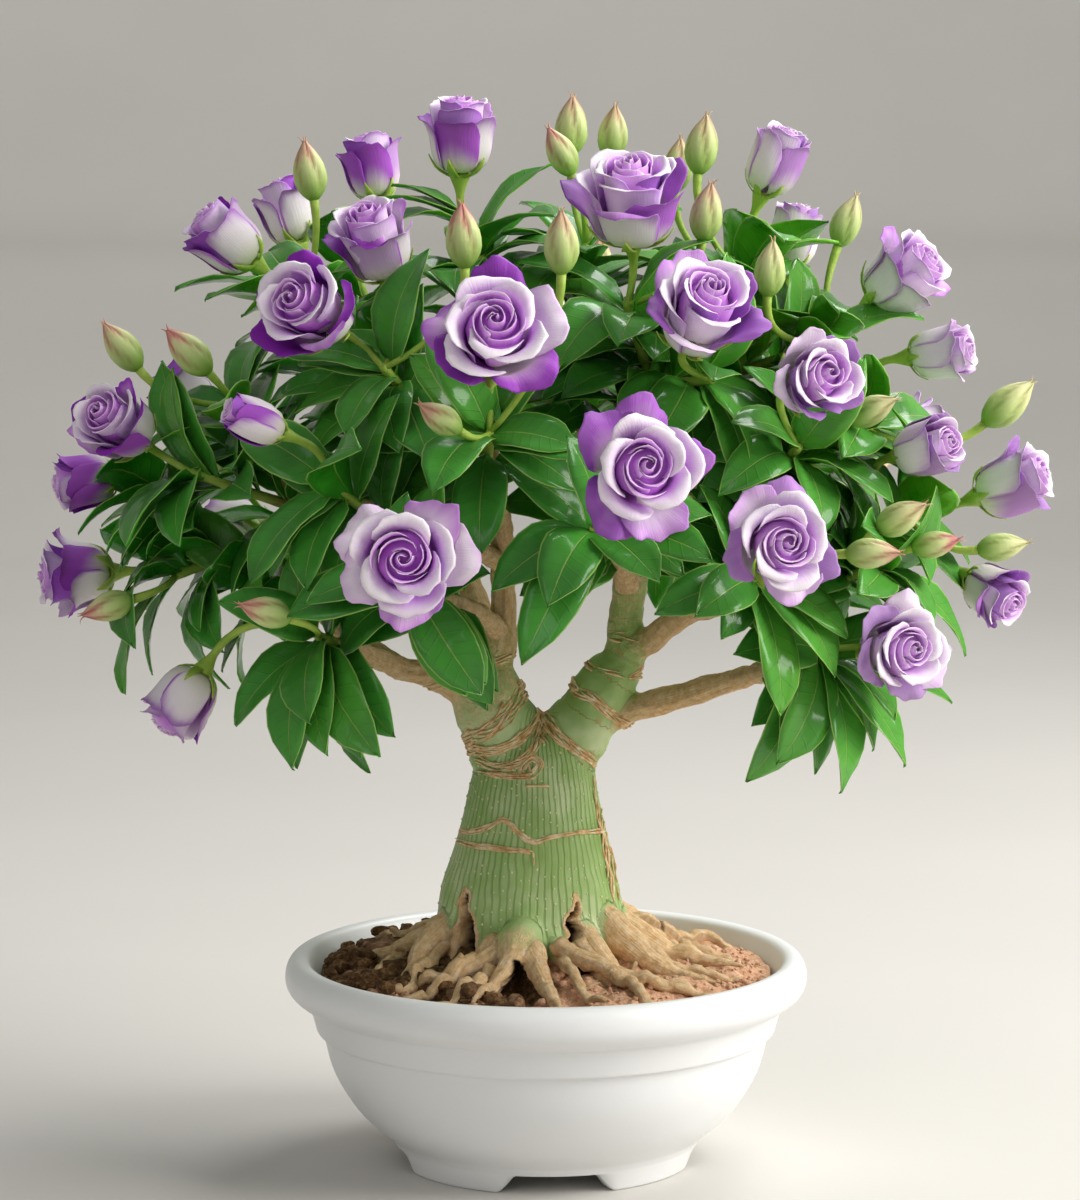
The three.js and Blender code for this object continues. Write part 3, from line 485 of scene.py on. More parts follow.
def blade(grid, thickness):
    """A closed thin skin on both sides of a grid of points, and which of its points are at the back."""
    rows, columns = grid.shape[:2]
    normal = np.cross(np.gradient(grid, axis=0), np.gradient(grid, axis=1))
    weak = np.linalg.norm(normal, axis=-1) < 1e-9
    normal[weak] = normal[~weak].mean(0)
    normal = unit(normal) * np.broadcast_to(thickness, (rows, columns))[..., None] / 2
    points = np.vstack([(grid + normal).reshape(-1, 3), (grid - normal).reshape(-1, 3)])
    faces = grid_faces(rows, columns, False)
    count = rows * columns
    numbers = np.arange(count).reshape(rows, columns)
    rim = np.concatenate([numbers[0, :-1], numbers[:-1, -1], numbers[-1, :0:-1], numbers[:0:-1, 0]])
    after = np.roll(rim, -1)
    strip = [np.stack([rim, after, after + count], 1), np.stack([rim, after + count, rim + count], 1)]
    back = np.repeat([0.0, 1.0], count)
    return points, np.vstack([faces[:, ::-1], faces + count, *strip]), back


class Shape:
    """Points, triangles and finish values of one piece, gathered part by part."""

    def __init__(self):
        self.points, self.faces, self.finishes, self.values = [], [], [], []
        self.count = 0

    def add(self, points, faces, finish=0, **values):
        self.points.append(points)
        self.faces.append(faces + self.count)
        self.finishes.append(np.full(len(faces), finish))
        self.values.append((len(points), values))
        self.count += len(points)

    def mesh(self, name):
        points = np.vstack(self.points) * MM
        faces = np.vstack(self.faces)
        made = bpy.data.meshes.new(name)
        made.vertices.add(len(points))
        made.vertices.foreach_set("co", points.astype(np.float32).ravel())
        made.loops.add(faces.size)
        made.loops.foreach_set("vertex_index", faces.astype(np.int32).ravel())
        made.polygons.add(len(faces))
        made.polygons.foreach_set("loop_start", np.arange(0, faces.size, 3, dtype=np.int32))
        made.polygons.foreach_set("material_index", np.concatenate(self.finishes).astype(np.int32))
        for key in sorted({key for _, values in self.values for key in values}):
            store = made.attributes.new(key, "FLOAT", "POINT")
            filled = [np.broadcast_to(values.get(key, 0.0), count) for count, values in self.values]
            store.data.foreach_set("value", np.concatenate(filled).astype(np.float32))
        made.update(calc_edges=True)
        made.shade_smooth()
        return made

    def piece(self, name, finishes, slot, *nodes):
        """Makes the piece, which rides on the plant's one body and stands for the named nodes."""
        made = bpy.data.objects.new(name, self.mesh(name))
        for finish in finishes:
            made.data.materials.append(finish)
        scene.collection.objects.link(made)
        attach(made, "root")
        if nodes:
            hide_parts(*nodes)
        return made


# The plant's own tables, which follow those of its solids.
# Swollen stem from the soil to the fork: height, middle x and y, half width and half depth
CAUDEX = [
    [46, -4, 0, 14, 13], [66, -5, 0, 36, 33], [88, -6, 0, 45, 40], [104, -6.8, 0, 42, 37.5],
    [118, -7, 0, 40, 36], [142, -6.1, 0, 33.6, 31.1],
    [162, -5.6, 0, 28.8, 26.5], [178, -5, 0, 25.8, 22.5], [190, -4.5, 0, 22, 17],
]

# Woody limbs and roots, each as points of x, y, z and radius
LIMBS = [
    [[-15, 0, 180, 18], [-24, -1, 203, 16.5], [-27, -1, 217, 13.5]],
    [[5, 0, 180, 15.5], [20, -1, 202, 13.5], [33, -1, 222, 10.5], [35.5, -2, 245, 7.5], [37, -4, 262, 7.5]],
    [[-26, -1, 211, 12], [-21, -2, 230, 8], [-18.5, -3, 246, 5.8], [-18, -18, 276, 5]],
    [[-28, -2, 207, 13], [-41, -5, 214, 9], [-52, -9, 218, 6], [-66, -22, 223, 5]],
    [[-27, -1, 213, 9], [-44, -2, 248, 6], [-62, -4, 290, 5]],
    [[36, -4, 256, 6.5], [30, -4, 282, 5], [22, -3, 310, 4.4]],
    [[38, -4, 256, 6.5], [46, -8, 282, 5.2], [58, -18, 315, 4.4]],
    [[35, -2, 226, 8.5], [48, -10, 235, 5.6], [60, -28, 246, 4.9]],
    [[20, -1, 196, 10], [40, -4, 203, 6.4], [58, -12, 208, 5.7], [83, -34, 219, 4.9]],
    [[-27, 0, 213, 9], [-34, 30, 250, 6.4], [-46, 58, 282, 5.2]],
    [[34, 0, 236, 7.5], [38, 30, 262, 5.8], [50, 60, 286, 5]],
]

ROOTS = [
    [[-10, -22, 120, 11], [-11, -42, 109, 10.5], [-15, -54, 101, 6.5], [-27, -78, 83, 3.2]],
    [[-8, -38, 110, 8], [-5, -54, 103, 6.5], [3, -79, 83, 3.6]],
    [[-16, -42, 106, 7], [-30, -52, 98, 5], [-48, -57, 90, 4], [-70, -58, 81, 2.2]],
    [[2, -34, 104, 8], [20, -48, 95, 4.8], [46, -58, 89, 3.6], [68, -60, 81, 2]],
    [[-40, -12, 112, 8], [-53, -26, 100, 5.5], [-61, -50, 83, 3]],
    [[12, -26, 110, 9], [24, -40, 99, 7], [40, -54, 82, 3]],
    [[26, -18, 112, 9.5], [40, -28, 98, 7.5], [64, -41, 80, 3]],
    [[30, -2, 108, 10], [47, -6, 97, 8], [75, -13, 79, 3]],
    [[26, 20, 110, 9.5], [42, 33, 97, 7], [65, 52, 79, 2.6]],
    [[-6, 32, 108, 9.5], [-7, 50, 96, 7], [-10, 78, 79, 2.6]],
    [[-34, 20, 110, 9.5], [-49, 30, 96, 7], [-72, 43, 79, 2.6]],
    [[-40, 2, 108, 9], [-57, 0, 97, 7], [-81, -3, 79, 2.6]],
]

# Blooms: middle of the head, the way it faces, its width, how far it is open and how violet it is
BLOOM_ROWS = [
    (-37, -10, 451, 0, -0.15, 1, 39, 0.45, 1),
    (-79, 90, 437, -0.2, 0.1, 0.95, 34, 0.4, 1),
    (-116, 70, 417, -0.3, 0.1, 0.9, 34, 0.4, 1),
    (-138, -10, 407, -0.75, -0.2, 0.65, 37, 0.45, 1),
    (-72, -60, 407, -0.25, -0.4, 0.8, 42, 0.6, 1),
    (-97, -95, 380, -0.45, -0.8, 0.35, 49, 0.8, 1),
    (-21, -140, 372, 0.05, -0.88, 0.45, 56, 1, 1),
    (35, -70, 424, -0.05, -0.45, 0.9, 54, 0.8, 1),
    (99, 0, 440, 0.35, -0.15, 0.9, 31, 0.15, 1),
    (110, 40, 407, 0.15, 0, 0.95, 28, 0.1, 1),
    (63, -110, 380, 0.25, -0.7, 0.65, 51, 0.8, 1),
    (153, -20, 391, 0.6, -0.35, 0.5, 43, 0.6, 1),
    (108, -120, 353, 0.4, -0.85, 0.25, 42, 0.7, 1),
    (169, -30, 359, 0.85, -0.35, 0.15, 32, 0.45, 1),
    (37, -165, 320, 0.15, -0.95, 0.2, 55, 1, 1),
    (92, -150, 289, 0.25, -0.95, 0.15, 50, 0.95, 1),
    (158, -80, 322, 0.65, -0.65, 0.25, 31, 0.3, 1),
    (200, -30, 303, 0.8, -0.3, 0.35, 38, 0.48, 1),
    (190, -50, 258, 0.6, -0.65, -0.35, 32, 0.5, 1),
    (144, -110, 242, 0.45, -0.88, 0.1, 45, 0.9, 1),
    (-56, -165, 285, 0, -0.99, 0.1, 55, 1, 1),
    (-179, -70, 331, -0.5, -0.7, 0.45, 40, 0.6, 1),
    (-161, 50, 336, -0.5, 0.2, 0.6, 34, 0.4, 1),
    (-200, -10, 302, -0.8, -0.2, -0.1, 31, 0.4, 1),
    (-206, 0, 260, -0.95, -0.2, -0.05, 42, 0.7, 1),
    (-153, -70, 214, -0.5, -0.2, -0.75, 35, 0.45, 0.6),
    (-118, -120, 336, -0.85, -0.3, 0.4, 21, 0, 1),
    (-5, 152, 372, 0, 0.85, 0.5, 44, 0.5, 1),
    (120, 118, 352, 0.55, 0.7, 0.45, 42, 0.5, 1),
    (166, 62, 318, 0.85, 0.45, 0.25, 38, 0.5, 1),
    (-75, 162, 318, -0.35, 0.9, 0.2, 44, 0.8, 1),
    (45, 168, 296, 0.2, 0.95, 0.15, 44, 0.9, 1),
    (-142, 112, 268, -0.7, 0.65, 0, 40, 0.5, 1),
]
BLOOMS = [
    dict(at=row[:3], facing=row[3:6], width=row[6], open=row[7], violet=row[8]) for row in BLOOM_ROWS
]

# Leafy shoots: the woody twig, then what each tip of the green stem carries. A bud is x, y, z, the way
# it points and its length, and a placed leaf is the x, y, z of its tip and its width. A tip has a whorl
# of four leaves where nothing else is said.
SHOOTS = [
    dict(wood=[[-18, -14, 268, 4.6], [-25, -15, 318, 3.9], [-29, -19, 368, 3.2]], tips=[
        dict(at=[-28, -20, 408], blooms=[1], placed=[[-70, -30, 424, 17], [2, -8, 438, 17]]),
    ]),
    dict(wood=[[22, -3, 306, 4.2], [14, -4, 340, 3.8], [14, -6, 368, 3.2]], tips=[
        dict(
            at=[17, -8, 404],
            buds=[
                [11, 0, 455, 0.05, 0, 1, 25],
                [6, -20, 444, -0.45, -0.1, 0.9, 22],
                [29, 10, 452, 0.1, 0, 1, 23],
            ],
            whorl=5,
        ),
    ]),
    dict(wood=[[22, -3, 306, 4.2], [34, -22, 328, 3.8], [43, -36, 342, 3.3]], tips=[
        dict(at=[34, -56, 380], blooms=[8], buds=[[67, -60, 419, 0.15, 0, 1, 24]]),
        dict(at=[68, -76, 350], blooms=[11]),
    ]),
    dict(wood=[[-18, -17, 274, 4.8], [-21, -50, 302, 4.2], [-24, -78, 315, 3.5]], tips=[
        dict(
            at=[-23, -106, 330], blooms=[7],
            buds=[[-43, -130, 338, -0.75, -0.4, 0.55, 21], [6, -120, 408, 0, -0.1, 1, 25]],
            placed=[[12, -122, 325, 21], [14, -112, 306, 20]],
        ),
    ]),
    dict(wood=[[-18, -16, 272, 4.6], [-34, -42, 309, 3.9], [-53, -64, 337, 3.2]], tips=[
        dict(at=[-67, -81, 355], blooms=[6, 5], buds=[[-34, -90, 410, -0.05, -0.1, 1, 26]], whorl=5),
    ]),
    dict(wood=[[-62, -4, 286, 4.8], [-80, -4, 326, 4.2], [-92, -3, 352, 3.4]], tips=[
        dict(at=[-105, -2, 381], blooms=[4], buds=[[-101, -20, 436, -0.15, 0, 1, 25]], whorl=5),
    ]),
    dict(wood=[[-44, -3, 249, 5.4], [-75, -18, 272, 4.6], [-102, -33, 290, 3.8]], tips=[
        dict(
            at=[-131, -42, 337],
            buds=[[-150, -60, 361, -0.7, -0.1, 0.75, 25], [-180, -40, 362, -0.6, 0, 0.8, 24]],
        ),
        dict(at=[-149, -54, 309], blooms=[22], placed=[[-186, -54, 275, 19]]),
    ]),
    dict(wood=[[-64, -20, 222, 5], [-100, -18, 247, 4.4], [-132, -15, 268, 3.6]], tips=[
        dict(at=[-166, -7, 297], blooms=[24]),
        dict(
            at=[-160, -23, 262], blooms=[25], buds=[[-185, -60, 253, -0.85, -0.2, -0.25, 22]],
            placed=[[-179, -58, 216, 20]],
        ),
    ]),
    dict(wood=[[-65, -20, 222.5, 5], [-79, -46, 232, 4.4], [-86, -68, 238, 3.8]], tips=[
        dict(
            at=[-94, -94, 245], blooms=[26], buds=[[-114, -125, 259, -0.85, -0.35, 0.3, 22]],
            placed=[[-104, -112, 192, 21], [-68, -122, 199, 23]],
        ),
    ]),
    dict(wood=[[-18, -14, 266, 4.6], [-36, -52, 280, 4], [-63, -88, 290, 3.2]], tips=[
        dict(at=[-87, -106, 308], blooms=[27], placed=[[-120, -124, 270, 20]]),
    ]),
    dict(wood=[[-20, -3, 236, 5.2], [-32, -44, 250, 4.2], [-47, -92, 262, 3.2]], tips=[
        dict(at=[-54, -122, 268], blooms=[21], placed=[[-26, -134, 226, 21]]),
    ]),
    dict(wood=[[36, -4, 256, 6], [32, -42, 272, 4.2], [23, -87, 284, 3.3]], tips=[
        dict(
            at=[19, -116, 292], blooms=[15],
            placed=[[-10, -146, 240, 21], [-22, -136, 264, 20], [45, -146, 273, 20]], whorl=3,
        ),
    ]),
    dict(wood=[[60, -28, 245.5, 4.6], [72, -54, 255, 4.2], [78, -74, 261, 3.5]], tips=[
        dict(
            at=[85, -104, 270], blooms=[16], buds=[[132, -128, 283, 0.9, -0.3, 0.05, 22]],
            placed=[[95, -124, 216, 19], [44, -124, 258, 18]], whorl=3,
        ),
    ]),
    dict(wood=[[82, -33, 218.6, 4.7], [97, -52, 226, 4.4], [104, -62, 230, 3.8]], tips=[
        dict(
            at=[114, -82, 238], blooms=[20],
            placed=[[83, -94, 184, 22], [122, -98, 180, 20], [150, -84, 189, 20], [171, -66, 213, 15]],
            whorl=2,
        ),
    ]),
    dict(wood=[[58, -26, 244.5, 4.4], [90, -40, 256, 4], [114, -53, 263, 3.4]], tips=[
        dict(
            at=[138, -82, 271], blooms=[19],
            buds=[[145, -110, 296, 0.75, -0.3, 0.45, 23], [161, -90, 283, 0.9, -0.2, 0.2, 20]],
            placed=[[176, -72, 234, 17]], whorl=3,
        ),
        dict(at=[150, -47, 293], blooms=[18, 17], buds=[[192, -62, 279, 0.95, -0.1, 0.15, 21]]),
    ]),
    dict(wood=[[46, -8, 280, 5], [70, -22, 293, 4.2], [91, -37, 303, 3.4]], tips=[
        dict(
            at=[136, -42, 328], blooms=[14],
            buds=[[200, -10, 336, 0.75, 0, 0.65, 27], [135, -82, 338, 0.8, -0.3, 0.4, 22]],
        ),
        dict(at=[104, -84, 322], blooms=[13]),
    ]),
    dict(wood=[[57, -17, 311, 4.3], [65, -17, 328, 3.8], [74, -18, 343, 3.3]], tips=[
        dict(
            at=[122, -34, 364], blooms=[12],
            buds=[[131, 10, 414, 0.35, 0, 0.95, 23], [93, -70, 396, 0.1, 0, 1, 23]],
        ),
        dict(at=[84, -12, 390], blooms=[9], buds=[[67, -10, 447, 0.15, 0, 1, 25]], whorl=5),
    ]),
    dict(wood=[[-45, 56, 280, 4.6], [-82, 59, 284, 4], [-106, 61, 285, 3.4]], tips=[
        dict(at=[-137, 47, 311], blooms=[23]),
        dict(at=[-120, 90, 268], blooms=[33], buds=[[-150, 88, 306, -0.6, 0.2, 0.8, 22]]),
    ]),
    dict(wood=[[-46, 57, 281, 4.8], [-60, 62, 320, 4], [-73, 64, 355, 3.3]], tips=[
        dict(at=[-86, 66, 391], blooms=[2, 3]),
    ]),
    dict(wood=[[57, -17, 311, 4.3], [65, 4, 336, 3.6], [72, 17, 355, 3.2]], tips=[
        dict(at=[87, 34, 384], blooms=[10], buds=[[58, 30, 438, 0.1, 0, 1, 23]]),
    ]),
    dict(wood=[[38, 29, 261, 5], [16, 60, 298, 4.2], [4, 84, 326, 3.4]], tips=[
        dict(at=[-4, 112, 352], blooms=[28], buds=[[25, 130, 392, 0.1, 0.2, 1, 24]]),
    ]),
    dict(wood=[[50, 59, 285.5, 4.8], [75, 66, 297, 4], [92, 70, 303, 3.4]], tips=[
        dict(at=[104, 86, 334], blooms=[29]),
        dict(at=[134, 60, 303], blooms=[30], buds=[[150, 106, 296, 0.7, 0.5, 0.3, 22]]),
    ]),
    dict(wood=[[-45, 57, 281, 4.6], [-51, 82, 288, 4], [-54, 98, 291, 3.4]], tips=[
        dict(at=[-60, 126, 298], blooms=[31], buds=[[-104, 140, 340, -0.4, 0.4, 0.8, 23]]),
    ]),
    dict(wood=[[50, 59, 285, 4.6], [44, 84, 279, 4], [41, 102, 276, 3.4]], tips=[
        dict(at=[38, 130, 276], blooms=[32], buds=[[92, 142, 262, 0.75, 0.55, -0.1, 22]]),
    ]),
]

# Ways to set a leaf: turn about the stem, more spread and length for a whorl, further and higher for a
# placed one
LEAF_TRIES = [
    [0, 0, 1], [0.3, 0, 1], [-0.3, 0, 1], [0, 0.3, 1], [0, -0.3, 1], [0.6, 0, 0.95], [-0.6, 0, 0.95],
    [0.4, 0.3, 0.9], [-0.4, 0.3, 0.9], [0.4, -0.3, 0.9], [-0.4, -0.3, 0.9], [0, 0.5, 0.8], [0, -0.4, 0.8],
    [0.9, 0, 0.8], [-0.9, 0, 0.8], [1.2, 0.2, 0.72], [-1.2, 0.2, 0.72],
]
PLACED_TRIES = [
    [0, 0], [4, 0], [-4, 0], [0, 4], [0, -4], [6, 5], [-6, 5], [6, -5], [-6, -5], [0, 9], [0, -9],
]

# Bowl: corners of radius, height and how far each corner is rounded, from the middle of the underside
# up the outside, over the rim and down the inside
UNDERSIDE = 8.5
BOWL_OUTSIDE = [
    (8, 8.5, 0), (54.5, 8.5, 1), (57, 0, 0.8), (64.6, 0, 1.2), (67.6, 9.4, 0.6), (69.4, 12.4, 1.5),
    (82.5, 22.6, 9), (94.4, 41, 10), (98.1, 57, 3), (98.5, 58.7, 0.4), (101.2, 59.7, 0.7), (104.4, 71.2, 1.2),
    (105.3, 72.3, 0.5), (110.2, 74, 9), (114.9, 79, 9), (115.1, 86.5, 9), (111.6, 92, 9),
    (105.4, 91.6, 9), (103.4, 87.5, 9),
]
BOWL_INSIDE = [(99.8, 80, 6), (94.2, 58, 0), (82.2, 30, 0), (62, 15, 0), (8, 14, 0)]
NOTCH_TURN = math.radians(4)
NOTCH_HALVES = (math.radians(23.3), math.radians(14.8))
DRAIN_RADIUS = 4.5
DRAIN_DISTANCE = 36
BOWL_SIDES = 256


def rounded(corners, steps=5):
    """A line through corners of x, y and cut, each corner rounded over its cut."""
    line = [corners[0][:2]]
    for before, (x, y, cut), after in zip(corners, corners[1:], corners[2:]):
        corner = np.array([x, y], float)
        if cut == 0:
            line.append(corner)
            continue
        back, on = np.array(before[:2]) - corner, np.array(after[:2]) - corner
        start = corner + back * min(cut / np.linalg.norm(back), 0.5)
        end = corner + on * min(cut / np.linalg.norm(on), 0.5)
        for t in np.linspace(0, 1, steps):
            line.append(start * (1 - t) ** 2 + 2 * corner * t * (1 - t) + end * t**2)
    return np.array([*line, corners[-1][:2]])


def turned(profile, sides):
    """Rings of a profile of radius and height turned about the upright axis."""
    angle = np.arange(sides) / sides * TURN
    radius, height = profile[:, :1], profile[:, 1:]
    return np.stack([radius * np.cos(angle), radius * np.sin(angle), height + 0 * angle], -1)


def make_bowl():
    rings = turned(rounded(BOWL_OUTSIDE + BOWL_INSIDE), BOWL_SIDES)
    angle = np.arctan2(rings[..., 1], rings[..., 0])
    quarter = np.abs((angle - NOTCH_TURN + TURN / 8) % (TURN / 4) - TURN / 8)
    foot = ease(quarter, NOTCH_HALVES[1] * 0.98, NOTCH_HALVES[0] * 1.02)
    low = rings[..., 2] < UNDERSIDE
    lifted = UNDERSIDE - 0.02 - (UNDERSIDE - 0.02 - rings[..., 2]) * foot
    rings[..., 2] = np.where(low, lifted, rings[..., 2])
    shape = Shape()
    shape.add(*closed_skin(rings))
    bowl = shape.piece("bowl", [bowl_finish()], "bowl", "pot")
    drill = Shape()
    for quarter in range(4):
        middle = DRAIN_DISTANCE * np.array([math.cos(quarter * TURN / 4), math.sin(quarter * TURN / 4)])
        line = np.array([[*middle, 0, DRAIN_RADIUS], [*middle, 20, DRAIN_RADIUS]])
        drill.add(*tube(line, 24))
    cutter = bpy.data.objects.new("drill", drill.mesh("drill"))
    scene.collection.objects.link(cutter)
    holes = bowl.modifiers.new("holes", "BOOLEAN")
    holes.operation = "DIFFERENCE"
    holes.object = cutter
    drained = bpy.data.meshes.new_from_object(bowl.evaluated_get(bpy.context.evaluated_depsgraph_get()))
    bowl.modifiers.clear()
    bowl.data = drained
    bpy.data.objects.remove(cutter)


# Soil: heaped round the stem, in big dark clods on the left and fine reddish crumb on the right
SOIL_HEAP = [(0, 93), (40, 93), (73.6, 88.5), (99, 84.4)]
SOIL_WALL = [(99.1, 80.4), (93.5, 58.4), (81.6, 30.4), (61.7, 15.4), (8, 14.4)]
# Sunken pit under the front root, painted dark as shade: middle x and y, half width, half length and depth
DEN = (-13, -62, 9, 13, 13)
SOIL_SIDES = 280
CRUMBS = 1350
CRUMB_LIMIT = 97
FINE_MESH_FROM = 2.4


def soil_height(x, y):
    """Height of the soil's crumbly top, and how dark and cloddy it is there, with painted shade in the pit
    under the front root.
    """
    radius = np.hypot(x, y)
    flat = np.stack([x, y, 0 * x], -1)
    damp = np.clip(ease(-x, -25, 25) + 0.35 * ripple(flat, 42, 11), 0, 1)
    height = np.interp(radius, *zip(*SOIL_HEAP))
    den = np.exp(-(((x - DEN[0]) / DEN[2]) ** 2) - ((y - DEN[1]) / DEN[3]) ** 2)
    # painted shade: the pit under the front root takes the dark damp colour
    damp = np.maximum(damp, 1.2 * den)
    height = height - DEN[4] * den
    lumps = 2.2 * ripple(flat, 27, 12) + (1.1 + 1.3 * damp) * ripple(flat, 10.5, 13)
    crumbs = 0.6 * ripple(flat, 4.4, 14) + (0.5 + 0.5 * damp) * np.abs(ripple(flat, 6.2, 15))
    return height + (lumps + crumbs) * (1 - 0.6 * ease(radius, 90, 99)), damp


def lump(size, seed, fine):
    """A rough crumb of soil about its own middle."""
    rows, sides = (8, 11) if fine else (4, 6)
    down = np.linspace(0.12, 0.88, rows)[:, None] * math.pi
    turn = np.arange(sides) / sides * TURN
    ball = np.stack(
        [np.sin(down) * np.cos(turn), np.sin(down) * np.sin(turn), 0 * turn - np.cos(down)], -1
    )
    stretch = [0.8 + 0.5 * draw(seed, 1, 0), 0.8 + 0.5 * draw(seed, 2, 0), 0.6 + 0.3 * draw(seed, 3, 0)]
    ball *= (1 + 0.3 * ripple(ball, 1.7, seed % 37) + 0.12 * ripple(ball, 0.8, seed % 31))[..., None]
    lean = draw(seed, 4, 0) * TURN
    x, y, z = np.moveaxis(ball * stretch * size, -1, 0)
    c, s = math.cos(lean), math.sin(lean)
    return closed_skin(np.stack([x * c - y * s, x * s + y * c, z], -1))


def make_soil():
    radius = np.concatenate([np.linspace(6, 96, 60), [98, 99]])
    angle = np.arange(SOIL_SIDES) / SOIL_SIDES * TURN
    x, y = radius[:, None] * np.cos(angle), radius[:, None] * np.sin(angle)
    height, damp = soil_height(x, y)
    top = np.stack([x, y, height], -1)
    wall = turned(np.array(SOIL_WALL, float), SOIL_SIDES)
    rings = np.concatenate([top, wall])[::-1]
    damp_and_shade_rings = np.concatenate([damp, np.ones(wall.shape[:2])])[::-1]
    shape = Shape()
    shape.add(*closed_skin(rings), damp=np.append(damp_and_shade_rings.ravel(), [1.0, 0.5]))
    for seed in range(CRUMBS):
        where = draw(seed, 5, 0) * TURN
        away = CRUMB_LIMIT * math.sqrt(0.16 + 0.84 * draw(seed, 6, 0))
        x, y = away * math.cos(where), away * math.sin(where)
        if abs(x - DEN[0]) < DEN[2] and abs(y - DEN[1]) < DEN[3]:
            continue
        height, damp = soil_height(np.array([x]), np.array([y]))
        size = 0.6 + (1.2 + 4.2 * damp[0]) * draw(seed, 7, 0) ** 3.4
        size = min(size, CRUMB_LIMIT + 2 - away)
        points, faces = lump(size, seed, size > FINE_MESH_FROM)
        points = points + (x, y, height[0] + 0.25 * size)
        shape.add(points, faces, damp=damp[0] * (0.6 + 0.6 * draw(seed, 8, 0)))
    shape.piece("soil_crumb", [soil_finish()], "soil", "soil")


# Trunk: the solids' skins made one, with soft joins, then wrinkled and cleft
SKIN_MESH = 1.42
SKIN_ROUNDS = 8
JOIN_SHARPNESS = 14
POINTS_AT_ONCE = 6000
CLEFTS = [
    dict(foot=(-36, -31, 94), top=(-37, -26, 124), half=7.5, depth=10),
    dict(foot=(11, -38, 96), top=(14, -33, 123), half=3.8, depth=8),
    dict(foot=(-12, 36, 96), top=(-10, 32, 118), half=5, depth=7),
    dict(foot=(-14, -66, 80), top=(-12, -58, 102), half=10, depth=24),
]
# Thin roots that run out over the soil: x, y and radius
RUNNERS = [
    [(-20, -38, 4.2), (-32, -52, 3.6), (-47, -66, 2.9), (-65, -71, 2), (-78, -64, 1.1)],
    [(-24, -58, 3.2), (-30, -74, 2.6), (-42, -84, 2), (-56, -80, 1)],
    [(-40, -14, 4), (-52, -36, 3.2), (-59, -58, 2.4), (-72, -62, 1.2)],
    [(4, -44, 4.2), (24, -54, 3.5), (43, -61, 2.8), (61, -58, 2), (78, -61, 1.1)],
    [(14, -38, 3.6), (32, -60, 2.7), (47, -79, 2), (60, -74, 1.1)],
    [(8, -56, 2.8), (14, -74, 2.2), (30, -86, 1.1)],
    [(30, -18, 4), (52, -31, 3), (71, -34, 2.2), (88, -27, 1.2)],
    [(36, 6, 4.4), (55, 26, 3.8), (70, 42, 3), (86, 38, 1.6)],
    [(40, -4, 3.6), (64, 2, 2.8), (86, 12, 1.4)],
    [(-42, 8, 4), (-60, -8, 3), (-72, -32, 2.2), (-76, -52, 1.2)],
    [(-28, 34, 3.8), (-47, 54, 2.9), (-52, 76, 1.4)],
    [(-46, 16, 3.6), (-68, 24, 2.8), (-88, 16, 1.4)],
    [(26, 32, 3.8), (42, 52, 3), (44, 78, 1.4)],
    [(-2, 44, 3.6), (10, 64, 2.8), (6, 88, 1.3)],
]
GREEN_LIMBS = 2


def wandering(line, amount, seed):
    """A line with its middle and radius made uneven, most in the middle of its length."""
    share = np.linspace(0, 1, len(line))
    ease_in = np.minimum(1, 6 * share * (1 - share))[:, None]
    made = line.copy()
    for axis in range(3):
        made[:, axis : axis + 1] += amount * ease_in * ripple(line[:, :3], 26, seed + axis)[:, None]
    made[:, 3] *= 1 + 0.08 * ripple(line[:, :3], 12, seed + 5)
    return made


def laid_on_soil(line, rise):
    """A line of x, y, z and radius with its height on the soil, raised at its start and sunk at its end."""
    share = np.linspace(0, 1, len(line))
    ground = soil_height(line[:, 0], line[:, 1])[0]
    sunk = 2.6 * line[:, 3] * ease(share, 0.86, 1)
    line[:, 2] = ground + 0.45 * line[:, 3] + rise * (1 - share) ** 2 - sunk
    return line


def root_line(number, points):
    """A root of the solid, whose outer part lies on the soil and runs on a little as a thin tail."""
    line = smooth_line(points, 2.5)
    share = np.linspace(0, 1, len(line))
    on = unit(line[-1, :2] - line[-5, :2])
    steps = np.arange(1, 7)[:, None]
    tail = line[-1] + np.hstack([steps * 2.4 * on, 0 * steps, 0 * steps])
    tail[:, 3] = line[-1, 3] * np.linspace(0.9, 0.3, len(steps))
    ground = soil_height(line[:, 0], line[:, 1])[0] + 0.4 * line[:, 3]
    line[:, 2] += np.maximum(ground - line[:, 2], 0) * ease(share, 0.35, 0.7)
    line = np.vstack([line, laid_on_soil(tail, 0)])
    share = np.linspace(0, 1, len(line))
    lower = 1 if number < 2 else 0.4
    line[:, 2] -= 5 * lower * ease(share, 0.6, 0.1)
    line[:, 3] *= (1 - 0.16 * ease(share, 0.1, 0.5)) * (1 - 0.35 * lower * ease(share, 0.3, 0))
    return wandering(line, 1.0, 40 + number)


